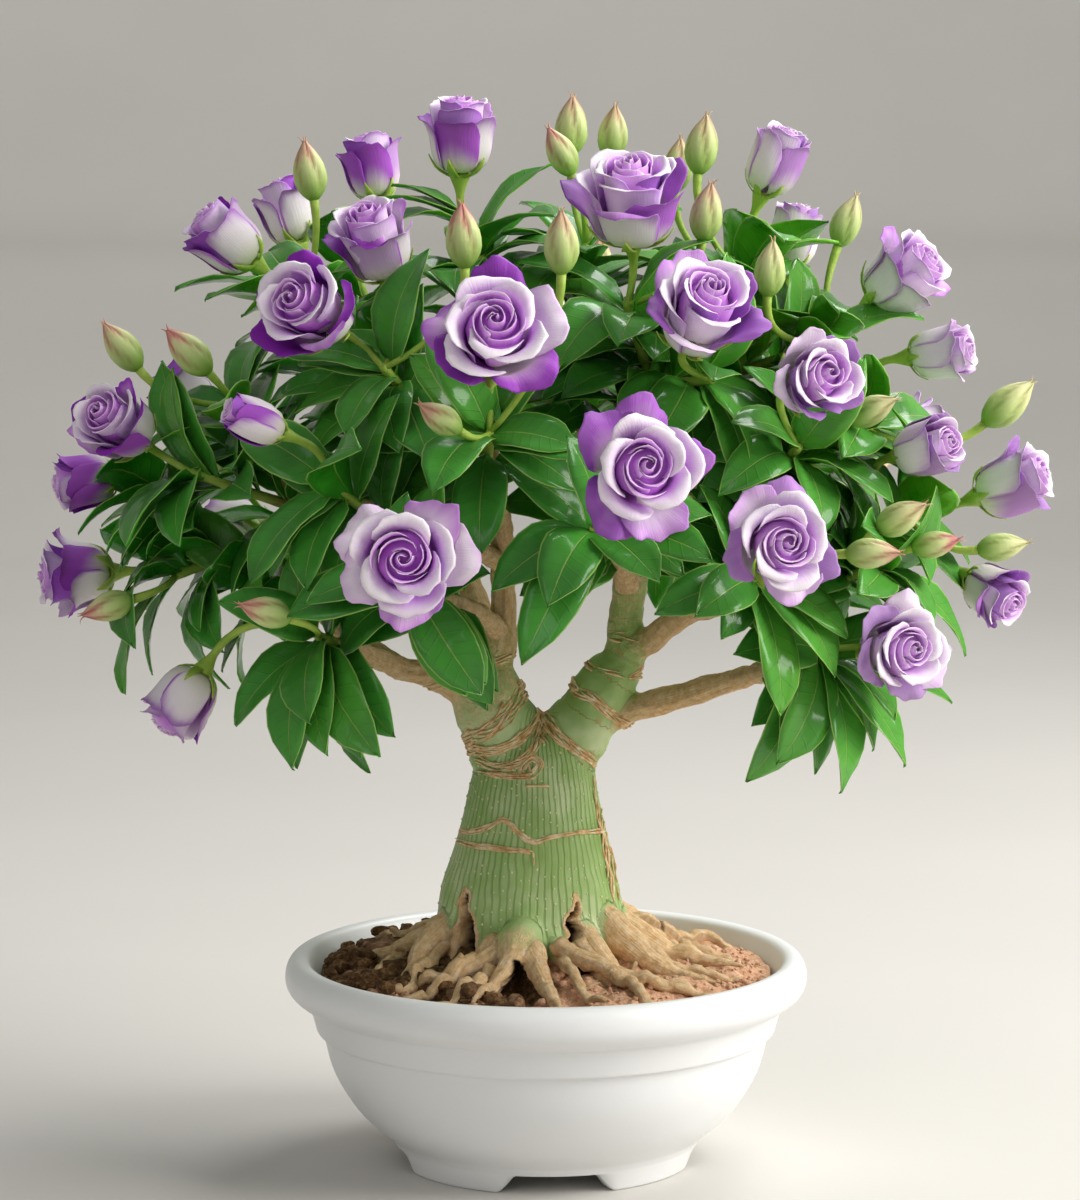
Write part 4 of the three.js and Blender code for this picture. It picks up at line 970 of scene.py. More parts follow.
def make_rootlets():
    """Thin roots over the soil, with finer ones that leave them."""
    shape = Shape()

    def lay(line, seed):
        line = laid_on_soil(line, 9 if len(line) > 12 else 0)
        angle = np.arange(10) / 10 * TURN
        swell = 1 + 0.2 * ripple(line[:, :3], 6, seed)[:, None] + 0.1 * np.cos(3 * angle + seed)
        turn = np.append(np.tile(angle, len(line)), [0, 0])
        along = by_ring(np.arange(len(line)) * 2.0, 10, [0, 0])
        shape.add(*tube(line, 10, swell), bark=1.0, turn=turn, along=along)

    for number, runner in enumerate(RUNNERS):
        knots = [(x, y, 90, radius) for x, y, radius in runner]
        line = smooth_line(knots, 2)
        for axis in (0, 1):
            line[:, axis] += 1.6 * ripple(line[:, :3], 19, 80 + number + axis)
        lay(line, 90 + number)
        for twig in range(3):
            start = line[int(len(line) * (0.3 + 0.2 * twig))]
            way = draw(number, twig, 12) * TURN
            size = 0.45 * start[3]
            reach = 9 + 12 * draw(number, twig, 13)
            knots = []
            for share, bend in ((0, 0), (0.35, 0.1), (0.7, 0.5), (1, 0.4)):
                x = start[0] + reach * share * math.cos(way + bend)
                y = start[1] + reach * share * math.sin(way + bend)
                knots.append((x, y, 90, size * (1 - 0.6 * share)))
            if max(math.hypot(x, y) for x, y, _, _ in knots) < 92:
                lay(smooth_line(knots, 2), 110 + number)
    shape.piece("rootlets", [trunk_finish()], "bark")


def fused(shape):
    """The overlapping skins of a shape made into one and softened."""
    holder = bpy.data.objects.new("fused", shape.mesh("fused"))
    scene.collection.objects.link(holder)
    whole = holder.modifiers.new("whole", "REMESH")
    whole.mode = "VOXEL"
    whole.voxel_size = SKIN_MESH * MM
    soft = holder.modifiers.new("soft", "SMOOTH")
    soft.iterations = SKIN_ROUNDS
    mesh = holder.evaluated_get(bpy.context.evaluated_depsgraph_get()).to_mesh()
    mesh.calc_loop_triangles()
    points = np.empty(len(mesh.vertices) * 3)
    mesh.vertices.foreach_get("co", points)
    faces = np.empty(len(mesh.loop_triangles) * 3, np.int32)
    mesh.loop_triangles.foreach_get("vertices", faces)
    bpy.data.objects.remove(holder)
    return points.reshape(-1, 3) / MM, faces.reshape(-1, 3)


def point_normals(points, faces):
    a, b, c = (points[faces[:, corner]] for corner in range(3))
    flat = np.cross(b - a, c - a)
    total = np.zeros_like(points)
    for axis in range(3):
        for corner in range(3):
            total[:, axis] += np.bincount(faces[:, corner], flat[:, axis], len(points))
    return unit(total)


def trunk_lines():
    """Every woody line of the trunk with its share of bark, and whether it is the swollen stem."""
    lines = []
    for number, points in enumerate(LIMBS):
        line = smooth_line(points, 3)
        start, end = (0.0, 0.55) if number < GREEN_LIMBS else (0.35, 1.0)
        share = np.linspace(0, 1, len(line))
        lines.append((wandering(line, 0.8, 20 + number), start + (end - start) * share**0.7, 0.0))
    for number, points in enumerate(ROOTS):
        line = root_line(number, points)
        top = 114 if number < 2 else 126
        lines.append((line, ease(line[:, 2], top, top - 20), 0.0))
    return lines


def line_values(points, stem, lines):
    """What each point of the skin takes from the woody line that it belongs to: its bark, how swollen it
    is, the turn about the line, the place along it and its radius."""
    middle = np.stack([stem[:, 1], stem[:, 2], stem[:, 0], (stem[:, 3] + stem[:, 4]) / 2], -1)
    samples, barks, swollens, alongs, frames = [], [], [], [], []
    for line, bark, swollen in [(middle, 0 * middle[:, 0], 1.0), *lines]:
        samples.append(line)
        barks.append(bark)
        swollens.append(np.full(len(line), swollen))
        steps = np.linalg.norm(np.diff(line[:, :3], axis=0), axis=1)
        alongs.append(np.concatenate([[0], np.cumsum(steps)]))
        frames.append(np.stack(carried_frames(line[:, :3])[1:], 1))
    samples, frames = np.vstack(samples), np.vstack(frames)
    barks, swollens, alongs = map(np.concatenate, (barks, swollens, alongs))
    nearest = np.empty(len(points), int)
    bark, swollen = np.empty(len(points)), np.empty(len(points))
    for start in range(0, len(points), POINTS_AT_ONCE):
        part = slice(start, start + POINTS_AT_ONCE)
        away = np.linalg.norm(points[part, None] - samples[None, :, :3], axis=-1)
        ratio = away / samples[:, 3]
        nearest[part] = ratio.argmin(1)
        weight = np.exp(-JOIN_SHARPNESS * (ratio - ratio.min(1, keepdims=True)))
        weight /= weight.sum(1, keepdims=True)
        bark[part] = weight @ barks
        swollen[part] = weight @ swollens
    offset = points - samples[nearest, :3]
    turn = np.arctan2((offset * frames[nearest, 1]).sum(1), (offset * frames[nearest, 0]).sum(1))
    turn = np.where(swollens[nearest] > 0.5, np.arctan2(offset[:, 1], offset[:, 0]), turn)
    return bark, swollen, turn, alongs[nearest], samples[nearest, 3]


def wrinkled(points, faces, bark, swollen, turn, along, radius):
    """The skin with grooved, lumpy bark and faint rings on its green limbs."""
    grooves = np.sin(7 * turn + 2.5 * ripple(points, 26, 64)) * (1 - swollen)
    rough = 0.22 * ripple(points, 5.5, 61) + 0.25 * np.abs(ripple(points, 9, 62)) + 0.35 * grooves
    smooth = (1 - bark) * 0.5 * ripple(points, 21, 63)
    rings = 0.35 * np.sin(along * RINGS) * (1 - swollen) * (1 - bark)
    thin = np.clip(radius / 6, 0.15, 1)
    return points + point_normals(points, faces) * ((bark * rough + smooth + rings) * thin)[:, None]


def cleft_open(points, bark):
    """The skin with its clefts pushed in, its bark with their lips, and how deep in one each point is, which
    the finish paints as shade.
    """
    hollow = np.zeros(len(points))
    for cleft in CLEFTS:
        foot, top = np.array(cleft["foot"], float), np.array(cleft["top"], float)
        share = (points[:, 2] - foot[2]) / (top[2] - foot[2])
        path = foot + (top - foot) * share[:, None]
        outward = unit([foot[0] + 6, foot[1], 0])
        side = np.array([-outward[1], outward[0], 0])
        aside = (points - path) @ side + 1.4 * ripple(points, 11, 71)
        half = cleft["half"] * np.clip(1 - share, 0, 1) ** 0.75
        inside = ease(np.abs(aside), half, half * 0.45) * ((points - path) @ outward > -9)
        inside *= ((share > -0.5) & (share < 1)) * (half > 0.4)
        points = points - outward * (cleft["depth"] * inside * ease(1 - share, 0, 0.35))[:, None]
        hollow = np.maximum(hollow, ease(inside, 0.2, 0.7))
        lip = ease(np.abs(aside), half + 3.5, half) * ((share > -0.5) & (share < 1.06))
        bark = np.maximum(bark, lip * ((points - path) @ outward > -12))
    return points, bark, hollow


def make_trunk():
    stem = smooth_line(CAUDEX, 4)
    shape = Shape()
    angle = np.arange(72) / 72 * TURN
    rings = [
        stem[:, 1, None] + stem[:, 3, None] * np.cos(angle),
        stem[:, 2, None] + stem[:, 4, None] * np.sin(angle),
        stem[:, 0, None] + 0 * angle,
    ]
    shape.add(*closed_skin(np.stack(rings, -1)))
    lines = trunk_lines()
    for line, _, _ in lines:
        shape.add(*tube(line, 18))
    points, faces = fused(shape)
    bark, swollen, turn, along, radius = line_values(points, stem, lines)
    bark = np.maximum(bark, ease(points[:, 2], 103, 92) * 0.9)
    bark = np.maximum(bark, ease(points[:, 2], 135, 100) * 0.24)
    points = wrinkled(points, faces, bark, swollen, turn, along, radius)
    points, bark, hollow = cleft_open(points, bark)
    shape = Shape()
    shape.add(points, faces, bark=bark, turn=turn, along=along, swollen=swollen, hollow=hollow)
    shape.piece("trunk_skin", [trunk_finish()], "bark", "trunk")
    return BVHTree.FromPolygons(points.tolist(), faces.tolist())


# Dry bark fibres: points along the front of each band in the picture's own pixels, how many fibres lie
# in it, how far apart they spread, and whether it goes on round the back
BANDS = [
    dict(front=[(471, 738), (490, 731), (507, 714), (522, 691)], fibres=10, spread=15, back=True),
    dict(front=[(473, 750), (500, 749), (524, 735), (541, 714)], fibres=10, spread=9, back=True),
    dict(front=[(474, 759), (500, 767), (526, 758), (543, 728)], fibres=8, spread=8, back=False),
    dict(front=[(478, 769), (503, 776), (533, 776)], fibres=5, spread=6, back=False),
    dict(front=[(541, 714), (557, 734), (577, 751), (599, 768)], fibres=10, spread=10, back=True),
    dict(front=[(576, 691), (594, 700), (614, 716), (630, 727)], fibres=7, spread=9, back=True),
    dict(front=[(597, 669), (625, 676)], fibres=2, spread=3, back=True),
    dict(front=[(600, 633), (640, 641)], fibres=3, spread=9, back=True),
    dict(front=[(489, 665), (513, 655)], fibres=3, spread=7, back=True),
    dict(
        front=[
            (446, 829), (470, 832), (490, 827), (504, 820), (518, 832), (533, 842), (560, 835), (604, 830),
        ],
        fibres=6, spread=4, back=True,
    ),
    dict(front=[(447, 838), (480, 846), (533, 852)], fibres=4, spread=4, back=False),
    dict(front=[(533, 852), (534, 862), (532, 872)], fibres=1, spread=0, back=False),
    dict(front=[(525, 786), (545, 786), (558, 789)], fibres=1, spread=0, back=False),
    dict(front=[(596, 775), (601, 815), (606, 845), (611, 872), (616, 902)], fibres=7, spread=8, back=False),
    dict(
        front=[(523, 764), (530, 775), (540, 764), (531, 758), (522, 770), (528, 781)],
        fibres=4, spread=7, back=False,
    ),
    dict(front=[(536, 724), (546, 718), (541, 732), (549, 744)], fibres=3, spread=7, back=False),
]


SIGHT_REACH = 2000
FIBRE_LEAP = 7


def seen(skin, x, y):
    """Where the skin shows at a pixel of the picture, and the way it faces there."""
    return skin.ray_cast(Vector(EYE), Vector(sight(x, y)), SIGHT_REACH)[:2]


def fibre_shift(band, fibre):
    return (fibre / max(band["fibres"] - 1, 1) - 0.5) * band["spread"]


def add_strand(shape, line, seed):
    """A thin fibre of uneven width along a line, unless the line is too short to show."""
    if len(line) > 4:
        line = np.array(line)
        line[:, 3] *= 1 + 0.3 * np.sin(np.arange(len(line)) * 0.8 + seed)
        line[[0, -1], 3] *= 0.3
        shape.add(*tube(line, 5))


def add_front_fibres(shape, skin, band, path, number):
    """Fibres laid on the front of the skin, along a band's path through the picture."""
    run = np.gradient(path[:, :2], axis=0)
    across = unit(np.stack([-run[:, 1], run[:, 0]], 1))
    for fibre in range(band["fibres"]):
        seed = 100 * number + fibre
        shift = fibre_shift(band, fibre)
        first = 0 if fibre % 3 == 0 else 0.4 * draw(seed, 1, 2)
        last = 1 if fibre % 3 == 1 else 1 - 0.4 * draw(seed, 2, 2)
        lift = 0.15 + 0.6 * draw(seed, 3, 2)
        radius = 0.26 + 0.32 * draw(seed, 4, 2)
        line, before = [], None
        for index in range(int(first * len(path)), int(last * len(path))):
            sway = math.sin(0.17 * index + seed) + math.sin(0.41 * index + 2 * seed)
            x, y = path[index, :2] + across[index] * (shift + 0.07 * band["spread"] * sway)
            hit, normal = seen(skin, x, y)
            if hit is None or (before is not None and np.linalg.norm(np.array(hit) - before) > FIBRE_LEAP):
                add_strand(shape, line, seed)
                line, before = [], None
                continue
            before = np.array(hit)
            proud = lift + 0.3 * math.sin(0.3 * index + seed)
            line.append([*(before + proud * np.array(normal)), radius])
        add_strand(shape, line, seed)


def add_rear_fibres(shape, skin, band, path, number):
    """Fibres that carry a band on round the back, from one of its ends to the other."""
    ends = [seen(skin, *path[place, :2])[0] for place in (1, -2)]
    if None in ends:
        return
    left, right = (np.array(end) for end in ends)
    way = unit(right - left)
    rear = unit(np.array([0, 1, 0]) - way * way[1])
    above = np.cross(rear, way)
    for fibre in range(band["fibres"]):
        seed = 100 * number + fibre + 50
        shift = fibre_shift(band, fibre) * 0.44
        proud, radius = 0.2 + 0.5 * draw(seed, 3, 2), 0.35 + 0.35 * draw(seed, 4, 2)
        line = []
        for angle in np.linspace(-0.25, math.pi + 0.25, 60):
            origin = (left + right) / 2 + rear * 3 + above * (shift + 0.6 * math.sin(3 * angle + seed))
            out = way * math.cos(angle) + rear * math.sin(angle)
            hit = skin.ray_cast(Vector(origin), Vector(out), 70)[0]
            if hit is not None:
                line.append([*(np.array(hit) + proud * out), radius])
        add_strand(shape, line, seed)


def make_fibres(skin):
    shape = Shape()
    for number, band in enumerate(BANDS):
        path = smooth_line([(x, y, 0, 0) for x, y in band["front"]], 2)
        add_front_fibres(shape, skin, band, path, number)
        if band["back"]:
            add_rear_fibres(shape, skin, band, path, number)
    shape.piece("bark_fibres", [fibre_finish()], "bark")


PORE_COLUMNS = 58


def make_pores(skin):
    """Rows of small pale pores up the swollen stem."""
    shape = Shape()
    down = np.array([0.4, 0.95, 1.5])[:, None]
    angle = np.arange(6) / 6 * TURN
    x, y, z = np.sin(down) * np.cos(angle), np.sin(down) * np.sin(angle), np.cos(down) + 0 * angle
    for column in range(PORE_COLUMNS):
        turn = (column + 0.15 * draw(column, 1, 3)) / PORE_COLUMNS * TURN
        height = 101 + 6 * draw(column, 2, 3)
        while height < 182:
            height += 3.6 + 6 * draw(column, int(height), 3)
            if draw(column, int(height), 4) < 0.2 or abs(height - 142.5) < 4:
                continue
            out = Vector((math.cos(turn), math.sin(turn), 0))
            hit, normal, _, _ = skin.ray_cast(Vector((-6, 0, height)), out, 60)
            if hit is None or abs(normal.z) > 0.5:
                continue
            across, other = across_way(np.array(normal))
            size = 0.42 + 0.25 * draw(column, int(height), 5)
            wide = x[..., None] * across + y[..., None] * other
            bead = wide * size + z[..., None] * np.array(normal) * size * 0.7
            shape.add(*closed_skin(bead[::-1] + np.array(hit)))
    shape.piece("pores", [lenticel_finish()], "bark")


# Leafy shoots: sizes shared with their solids
GAP = 0.3
CROWN_CENTRE = np.array([0, 0, 290.0])
STEM_RADIUS = 2.3
PEDICEL_RADIUS = 1.5
CALYX_RADIUS = 4.6
CALYX_LENGTH = 9
STALK_BEND = 0.45
KNEE = 5
WHORL_REACH = 26
WHORL_BARE_END = 6
WHORL_START = 3
WHORL_SPREAD = (0.85, 0.55)
WHORL_DROOP = 0.22
LEAF_LENGTH = (44, 57)
LEAF_SLENDERNESS = 0.42
LEAF_FOLD = 0.22
LEAF_ARCH = 0.12
GOLDEN_TURN = 2.39996
LIGHT_FROM_ABOVE = 0.9
EXTRA_LEAVES = 15
LIMB_CLEARANCE = 6
LEAF_CLEARANCE = 2.6
SOLID_TIP_REACH = 0.03
# Wood that shows between the leaves, in the picture's own pixels, and how far extra leaves keep from it
SEEN_WOOD = [
    [(487, 445), (495, 500), (510, 555)], [(502, 610), (512, 690)], [(626, 572), (612, 650)],
    [(642, 645), (680, 618), (716, 594)], [(645, 700), (700, 690), (758, 666)],
    [(372, 655), (412, 668), (452, 692)], [(215, 478), (268, 508)], [(268, 640), (330, 634)],
]
SEEN_MARGIN = 13
# Sepals under a bloom: how far out, how high and how wide, as shares of its radius and height
SEPAL = [
    (0.1, -0.05, 0.06), (0.28, -0.01, 0.1), (0.43, 0.04, 0.11),
    (0.55, 0.1, 0.09), (0.63, 0.17, 0.05), (0.7, 0.25, 0.01),
]
# A bud's radius against the share of its length
BUD_SHAPE = [
    (-0.02, 0.08), (0.04, 0.15), (0.12, 0.215), (0.22, 0.262), (0.34, 0.288), (0.46, 0.28),
    (0.58, 0.26), (0.7, 0.216), (0.82, 0.152), (0.92, 0.082), (1, 0.03),
]
BUD_SIDES = 25
# A bloom's green cup: share of its length and radius
CUP = ((0.25, 2.3), (0.5, 3.1), (0.72, 3.9), (0.9, 4.5), (1.0, CALYX_RADIUS), (1.1, 4.0))
WOOD, STEM, LEAF, BUD = range(4)


def bloom_height(bloom):
    return bloom["width"] * (1.05 - 0.42 * bloom["open"] + (0.2 if bloom["open"] == 0 else 0))


def bloom_foot(bloom):
    facing = unit(bloom["facing"])
    return np.array(bloom["at"]) - facing * bloom_height(bloom) / 2, facing


def stalk_line(tip, foot, facing, radii):
    """A bent stalk from a stem's tip to a foot that it meets head on."""
    bend = foot - facing * STALK_BEND * np.linalg.norm(foot - tip)
    t = np.linspace(0, 1, 12)[:, None]
    line = tip * (1 - t) ** 2 + 2 * bend * t * (1 - t) + foot * t**2
    return np.hstack([line, np.interp(t, np.linspace(0, 1, len(radii)), radii)])


def add_pedicel(shape, tip, bloom):
    foot, facing = bloom_foot(bloom)
    foot = foot - GAP * facing
    size = min(1, bloom["width"] / 40 + 0.15)
    ends = [PEDICEL_RADIUS * 0.95, PEDICEL_RADIUS * 1.2]
    line = stalk_line(tip, foot - CALYX_LENGTH * facing, facing, ends)
    cup = [
        [*(foot + CALYX_LENGTH * (share - 1) * facing), max(radius * size, ends[1])] for share, radius in CUP
    ]
    shape.add(*tube(np.vstack([line, cup]), 12), STEM, fresh=1.0)
    radius, height = bloom["width"] / 2, bloom_height(bloom)
    side, other = across_way(facing)
    for sepal in range(5):
        lean = (sepal + 0.3 * draw(sepal, int(radius * 9), 17)) / 5 * TURN
        out = side * math.cos(lean) + other * math.sin(lean)
        aside = np.cross(facing, out)
        sides = np.array([[-1], [0], [1]])
        grid = [
            foot + out * radius * far + facing * height * rise + aside * radius * half * sides
            for far, rise, half in SEPAL
        ]
        points, faces, _ = blade(np.array(grid), 0.45)
        shape.add(points, faces, STEM, fresh=1.0)


def add_bud(shape, tip, place, number):
    *middle, toward_x, toward_y, toward_z, length = place
    facing = unit([toward_x, toward_y, toward_z])
    foot = np.array(middle) - facing * length / 2
    shape.add(*tube(stalk_line(tip, foot, facing, [1.35, 1.4, 1.5, 2.1]), 9), STEM, fresh=1.0)
    blush = draw(number, 1, 6)
    side, other = across_way(facing)
    shares = np.array([-0.02, 0.03, 0.1, 0.2, 0.32, 0.45, 0.58, 0.7, 0.8, 0.89, 0.96, 1.0])
    radii = np.interp(shares, *zip(*BUD_SHAPE)) * length
    angle = np.arange(BUD_SIDES) / BUD_SIDES * TURN
    twist = 0.9 * shares[:, None] + number
    seam = np.abs(np.cos(2.5 * (angle + twist))) ** 9 * ease(shares, 0.03, 0.25)[:, None]
    fold = ((angle + twist) / TURN * 5) % 1
    radius = radii[:, None] * (1 - 0.1 * seam + 0.05 * fold * ease(shares, 0.1, 0.4)[:, None])
    circle = np.cos(angle)[:, None] * side + np.sin(angle)[:, None] * other
    rings = foot + facing * (shares * length)[:, None, None] + circle * radius[..., None]
    along = by_ring(shares, BUD_SIDES, [0, 1])
    seams = np.append(seam.ravel(), [0, 0])
    shape.add(*closed_skin(rings), BUD, along=along, seam=seams, blush=blush)
    for hair in range(3):
        lean = hair / 3 * TURN + number + draw(number, hair, 8)
        out = side * math.cos(lean) + other * math.sin(lean)
        root = foot + facing * 0.93 * length + out * 0.03 * length
        curl = 0.15 + 0.9 * draw(number, hair, 7)
        line = [
            [*root, 0.55],
            [*(root + facing * 1.6 + out * 0.3 * curl), 0.38],
            [*(root + facing * 3.0 + out * 1.3 * curl), 0.2],
            [*(root + facing * 3.6 + out * 2.7 * curl), 0.09],
        ]
        shape.add(*tube(smooth_line(line, 1.2), 5), BUD, along=0.95, seam=0.3, blush=0.3 + 0.5 * blush)


def leaf_frame(leaf):
    """A leaf's chord and its length, and the ways across and up from its blade."""
    base, tip, _, light, _ = leaf
    chord = tip - base
    length = np.linalg.norm(chord)
    way = chord / length
    up = unit(light - way * light.dot(way))
    return chord, length, np.cross(way, up), up


def add_leaf(shape, leaf, seed):
    """A glossy arched blade on a short stalk, folded along its rib, with a slightly wavy edge."""
    base, tip, width, _, arch = leaf
    chord, length, side, up = leaf_frame(leaf)
    s = np.array([0, 0.06, 0.13, 0.22, 0.34, 0.47, 0.6, 0.72, 0.82, 0.9, 0.96, 1.0])[:, None]
    t = np.array([-1, -0.6, -0.22, 0, 0.22, 0.6, 1])[None, :]
    half = 0.54 * width * np.sin(math.pi * np.minimum(s, 1) ** 1.06) ** 0.58
    half = half * (0.1 + 0.9 * ease(s, 0.04, 0.2)) * (0.55 + 0.45 * ease(s, 1.02, 0.82)) + 0.55 * (1 - s)
    aside = half * t
    bend = 0.07 * length * (draw(seed, 1, 4) - 0.5) * np.sin(math.pi * s)
    wave = 0.022 * length * np.sin(9 * s + 5 * t + TURN * draw(seed, 2, 4)) * t**2
    fold = LEAF_FOLD * half * (np.sqrt(t**2 + 0.02) * 1.25 - 0.2 * t**2)
    lift = 4 * arch * length * s * (1 - s) + fold + wave
    grid = base + chord * s[..., None] + side * (aside + bend)[..., None] + up * lift[..., None]
    thickness = 0.5 + 0.45 * (t == 0) - 0.2 * (np.abs(t) == 1) + 0.5 * (1 - ease(s, 0, 0.2))
    points, faces, back = blade(grid, thickness)
    along = np.tile(np.broadcast_to(s, grid.shape[:2]).ravel(), 2)
    across = np.tile(np.broadcast_to(t, grid.shape[:2]).ravel(), 2)
    # painted light: leaves grow lighter towards the right and near the top of the crown, on top of a random
    # share of young leaves
    young = max(0.04, draw(seed, 3, 4) - 0.7) * 2.6 + 0.45 * ease(tip[0], -20, 190)
    young = min(1, young + 0.4 * ease(tip[2], 290, 400) * draw(seed, 4, 4))
    shape.add(points, faces, LEAF, along=along, across=across, under=back, young=young)


def light_on(base):
    return unit(unit(base - CROWN_CENTRE) + np.array([0, 0, LIGHT_FROM_ABOVE]))


def whorl_leaf(stem, index, attempt):
    turn, more_spread, shorter = LEAF_TRIES[attempt]
    down = index / stem["whorl"]
    angle = draw(stem["number"], 0, 1) * TURN + index * GOLDEN_TURN + turn
    spread = WHORL_SPREAD[0] + WHORL_SPREAD[1] * down + more_spread
    base = stem["tip"] - stem["way"] * (WHORL_START + down * stem["reach"])
    return spread_leaf(stem, base, angle, spread, index, shorter)


def spread_leaf(stem, base, angle, spread, index, shorter):
    side, other = across_way(stem["way"])
    radial = side * math.cos(angle) + other * math.sin(angle)
    heading = stem["way"] * math.cos(spread) + radial * math.sin(spread)
    heading[2] -= WHORL_DROOP
    short, long = LEAF_LENGTH
    length = (short + (long - short) * draw(stem["number"], index, 2)) * shorter
    return base, base + unit(heading) * length, length * LEAF_SLENDERNESS, light_on(base), LEAF_ARCH


def placed_leaf(stem, index, attempt):
    x, y, z, width = stem["placed"][index]
    further, higher = PLACED_TRIES[attempt]
    base = stem["tip"] - stem["way"] * (2 + 3 * index)
    return base, np.array([x, y + further, z + higher], float), width, light_on(base), LEAF_ARCH


def extra_leaf(stem, index, attempt):
    """A leaf further back along the stem or its twig, in the shade of the outer ones."""
    turn, more_spread, shorter = LEAF_TRIES[attempt]
    share = (index + 0.5 * draw(stem["number"], index, 5)) / EXTRA_LEAVES
    angle = draw(stem["number"], 0, 6) * TURN + index * GOLDEN_TURN + turn
    path = stem["path"]
    steps = np.concatenate([[0], np.cumsum(np.linalg.norm(np.diff(path, axis=0), axis=1))])
    away = 5 + min(steps[-1] * 0.8, 95) * share
    base = np.array([np.interp(away, steps, path[:, axis]) for axis in range(3)])
    spread = 0.75 + 0.65 * draw(stem["number"], index, 7) + more_spread
    leaf = spread_leaf(stem, base, angle, spread, 50 + index, shorter * (1.04 - 0.12 * share))
    return *leaf[:4], 0.1 + 0.16 * draw(stem["number"], index, 8)


def stems_of(shoot, first):
    end = np.array(shoot["wood"][-1][:3], float)
    way = unit(end - np.array(shoot["wood"][-2][:3]))
    stems = []
    for index, tip in enumerate(shoot["tips"]):
        at = np.array(tip["at"], float)
        knee = end + way * KNEE
        run = at - knee
        wood = np.array(shoot["wood"])[::-1, :3]
        stem = dict(blooms=[], buds=[], placed=[], whorl=4) | tip
        stem |= dict(
            tip=at, start=end + way * GAP, knee=knee, number=first + index, way=unit(run),
            reach=min(WHORL_REACH, np.linalg.norm(run) - WHORL_BARE_END), path=np.vstack([at, knee, wood]),
        )
        stems.append(stem)
    return stems


def leaf_probe(leaf, first=0.2):
    """Points on a leaf's blade that show whether it meets something."""
    base, _, width, _, arch = leaf
    chord, length, side, up = leaf_frame(leaf)
    s = np.linspace(first, 1, 8)[:, None, None]
    t = np.array([-0.8, 0, 0.8])[:, None]
    half = width / 2 * np.sin(math.pi * s**0.88) ** 0.8
    return (base + chord * s + side * half * t + up * 4 * arch * length * s * (1 - s)).reshape(-1, 3)


def beads(line):
    """A line of x, y, z and radius as beads close enough to stand for it."""
    return smooth_line(line, 4)


def grow_leaves(shoots):
    """Gives every stem its leaves: placed ones and a whorl that stay near the solid, then extra ones
    where nothing is in their way."""
    solid = [[*bloom["at"], 0.46 * bloom["width"]] for bloom in BLOOMS]
    solid += [[*bud[:3], 0.34 * bud[6]] for stems in shoots for stem in stems for bud in stem["buds"]]
    wood = [beads(line) + (0, 0, 0, LIMB_CLEARANCE) for line in LIMBS]
    wood += [beads(shoot["wood"]) for shoot in SHOOTS]
    solid = np.vstack([solid, *wood])
    seen_wood = np.vstack([smooth_line(np.array(line, float), 10) for line in SEEN_WOOD])
    grown = []

    def settle(stem, leaf):
        stem["leaves"].append(leaf)
        grown.append(leaf_probe(leaf, 0.45))

    def blocked(leaf):
        probe = leaf_probe(leaf)
        if (np.linalg.norm(probe[:, None] - solid[:, :3], axis=-1) < solid[:, 3] + 0.7).any():
            return True
        if (np.linalg.norm(pixels(probe)[:, None] - seen_wood, axis=-1) < SEEN_MARGIN).any():
            return True
        return (np.linalg.norm(probe[::2, None] - np.vstack(grown), axis=-1) < LEAF_CLEARANCE).sum() > 1

    for number, stems in enumerate(shoots, 1):
        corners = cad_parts[f"spray_{number:02d}"].data.vertices
        tree = KDTree(len(corners))
        for index, corner in enumerate(corners):
            tree.insert(corner.co / MM, index)
        tree.balance()
        for stem in stems:
            stem["leaves"] = []
            for leaf_at, tries, count in (
                (placed_leaf, PLACED_TRIES, len(stem["placed"])), (whorl_leaf, LEAF_TRIES, stem["whorl"]),
            ):
                for index in range(count):
                    options = (leaf_at(stem, index, attempt) for attempt in range(len(tries)))
                    leaf = next((leaf for leaf in options if tree.find(leaf[1])[2] < SOLID_TIP_REACH), None)
                    if leaf is not None:
                        settle(stem, leaf)
    every_stem = [stem for stems in shoots for stem in stems]
    for index in range(EXTRA_LEAVES):
        for stem in every_stem:
            for attempt in range(len(LEAF_TRIES)):
                leaf = extra_leaf(stem, index, attempt)
                if not blocked(leaf):
                    settle(stem, leaf)
                    break


def add_twig(shape, wood, number):
    line = smooth_line(wood, 2.5)
    lumps = 0.09 * ripple(line[:, :3], 7, number)[:, None]
    swell = 1 + lumps + 0.06 * np.cos(np.arange(len(line)))[:, None]
    shape.add(
        *tube(line, 12, swell), WOOD,
        bark=by_ring(np.linspace(1, 0.75, len(line)), 12, [1, 0.75]),
        turn=np.append(np.tile(np.arange(12) / 12 * TURN, len(line)), [0, 0]),
        along=by_ring(np.arange(len(line)) * 2.5, 12, [0, 0]),
    )


def add_stem(shape, stem, number):
    start, knee, tip = stem["start"], stem["knee"], stem["tip"]
    line = smooth_line(
        [
            [*start, STEM_RADIUS * 1.25],
            [*knee, STEM_RADIUS * 1.05],
            [*(knee + (tip - knee) * 0.5), STEM_RADIUS * 0.95],
            [*tip, STEM_RADIUS * 0.85],
            [*(tip + stem["way"] * 1.5), STEM_RADIUS * 0.5],
        ],
        3,
    )
    swell = 1 + 0.06 * ripple(line[:, :3], 6, number)[:, None]
    shape.add(*tube(line, 11, swell), STEM, fresh=by_ring(np.linspace(0.1, 1, len(line)), 11, [0.1, 1]))


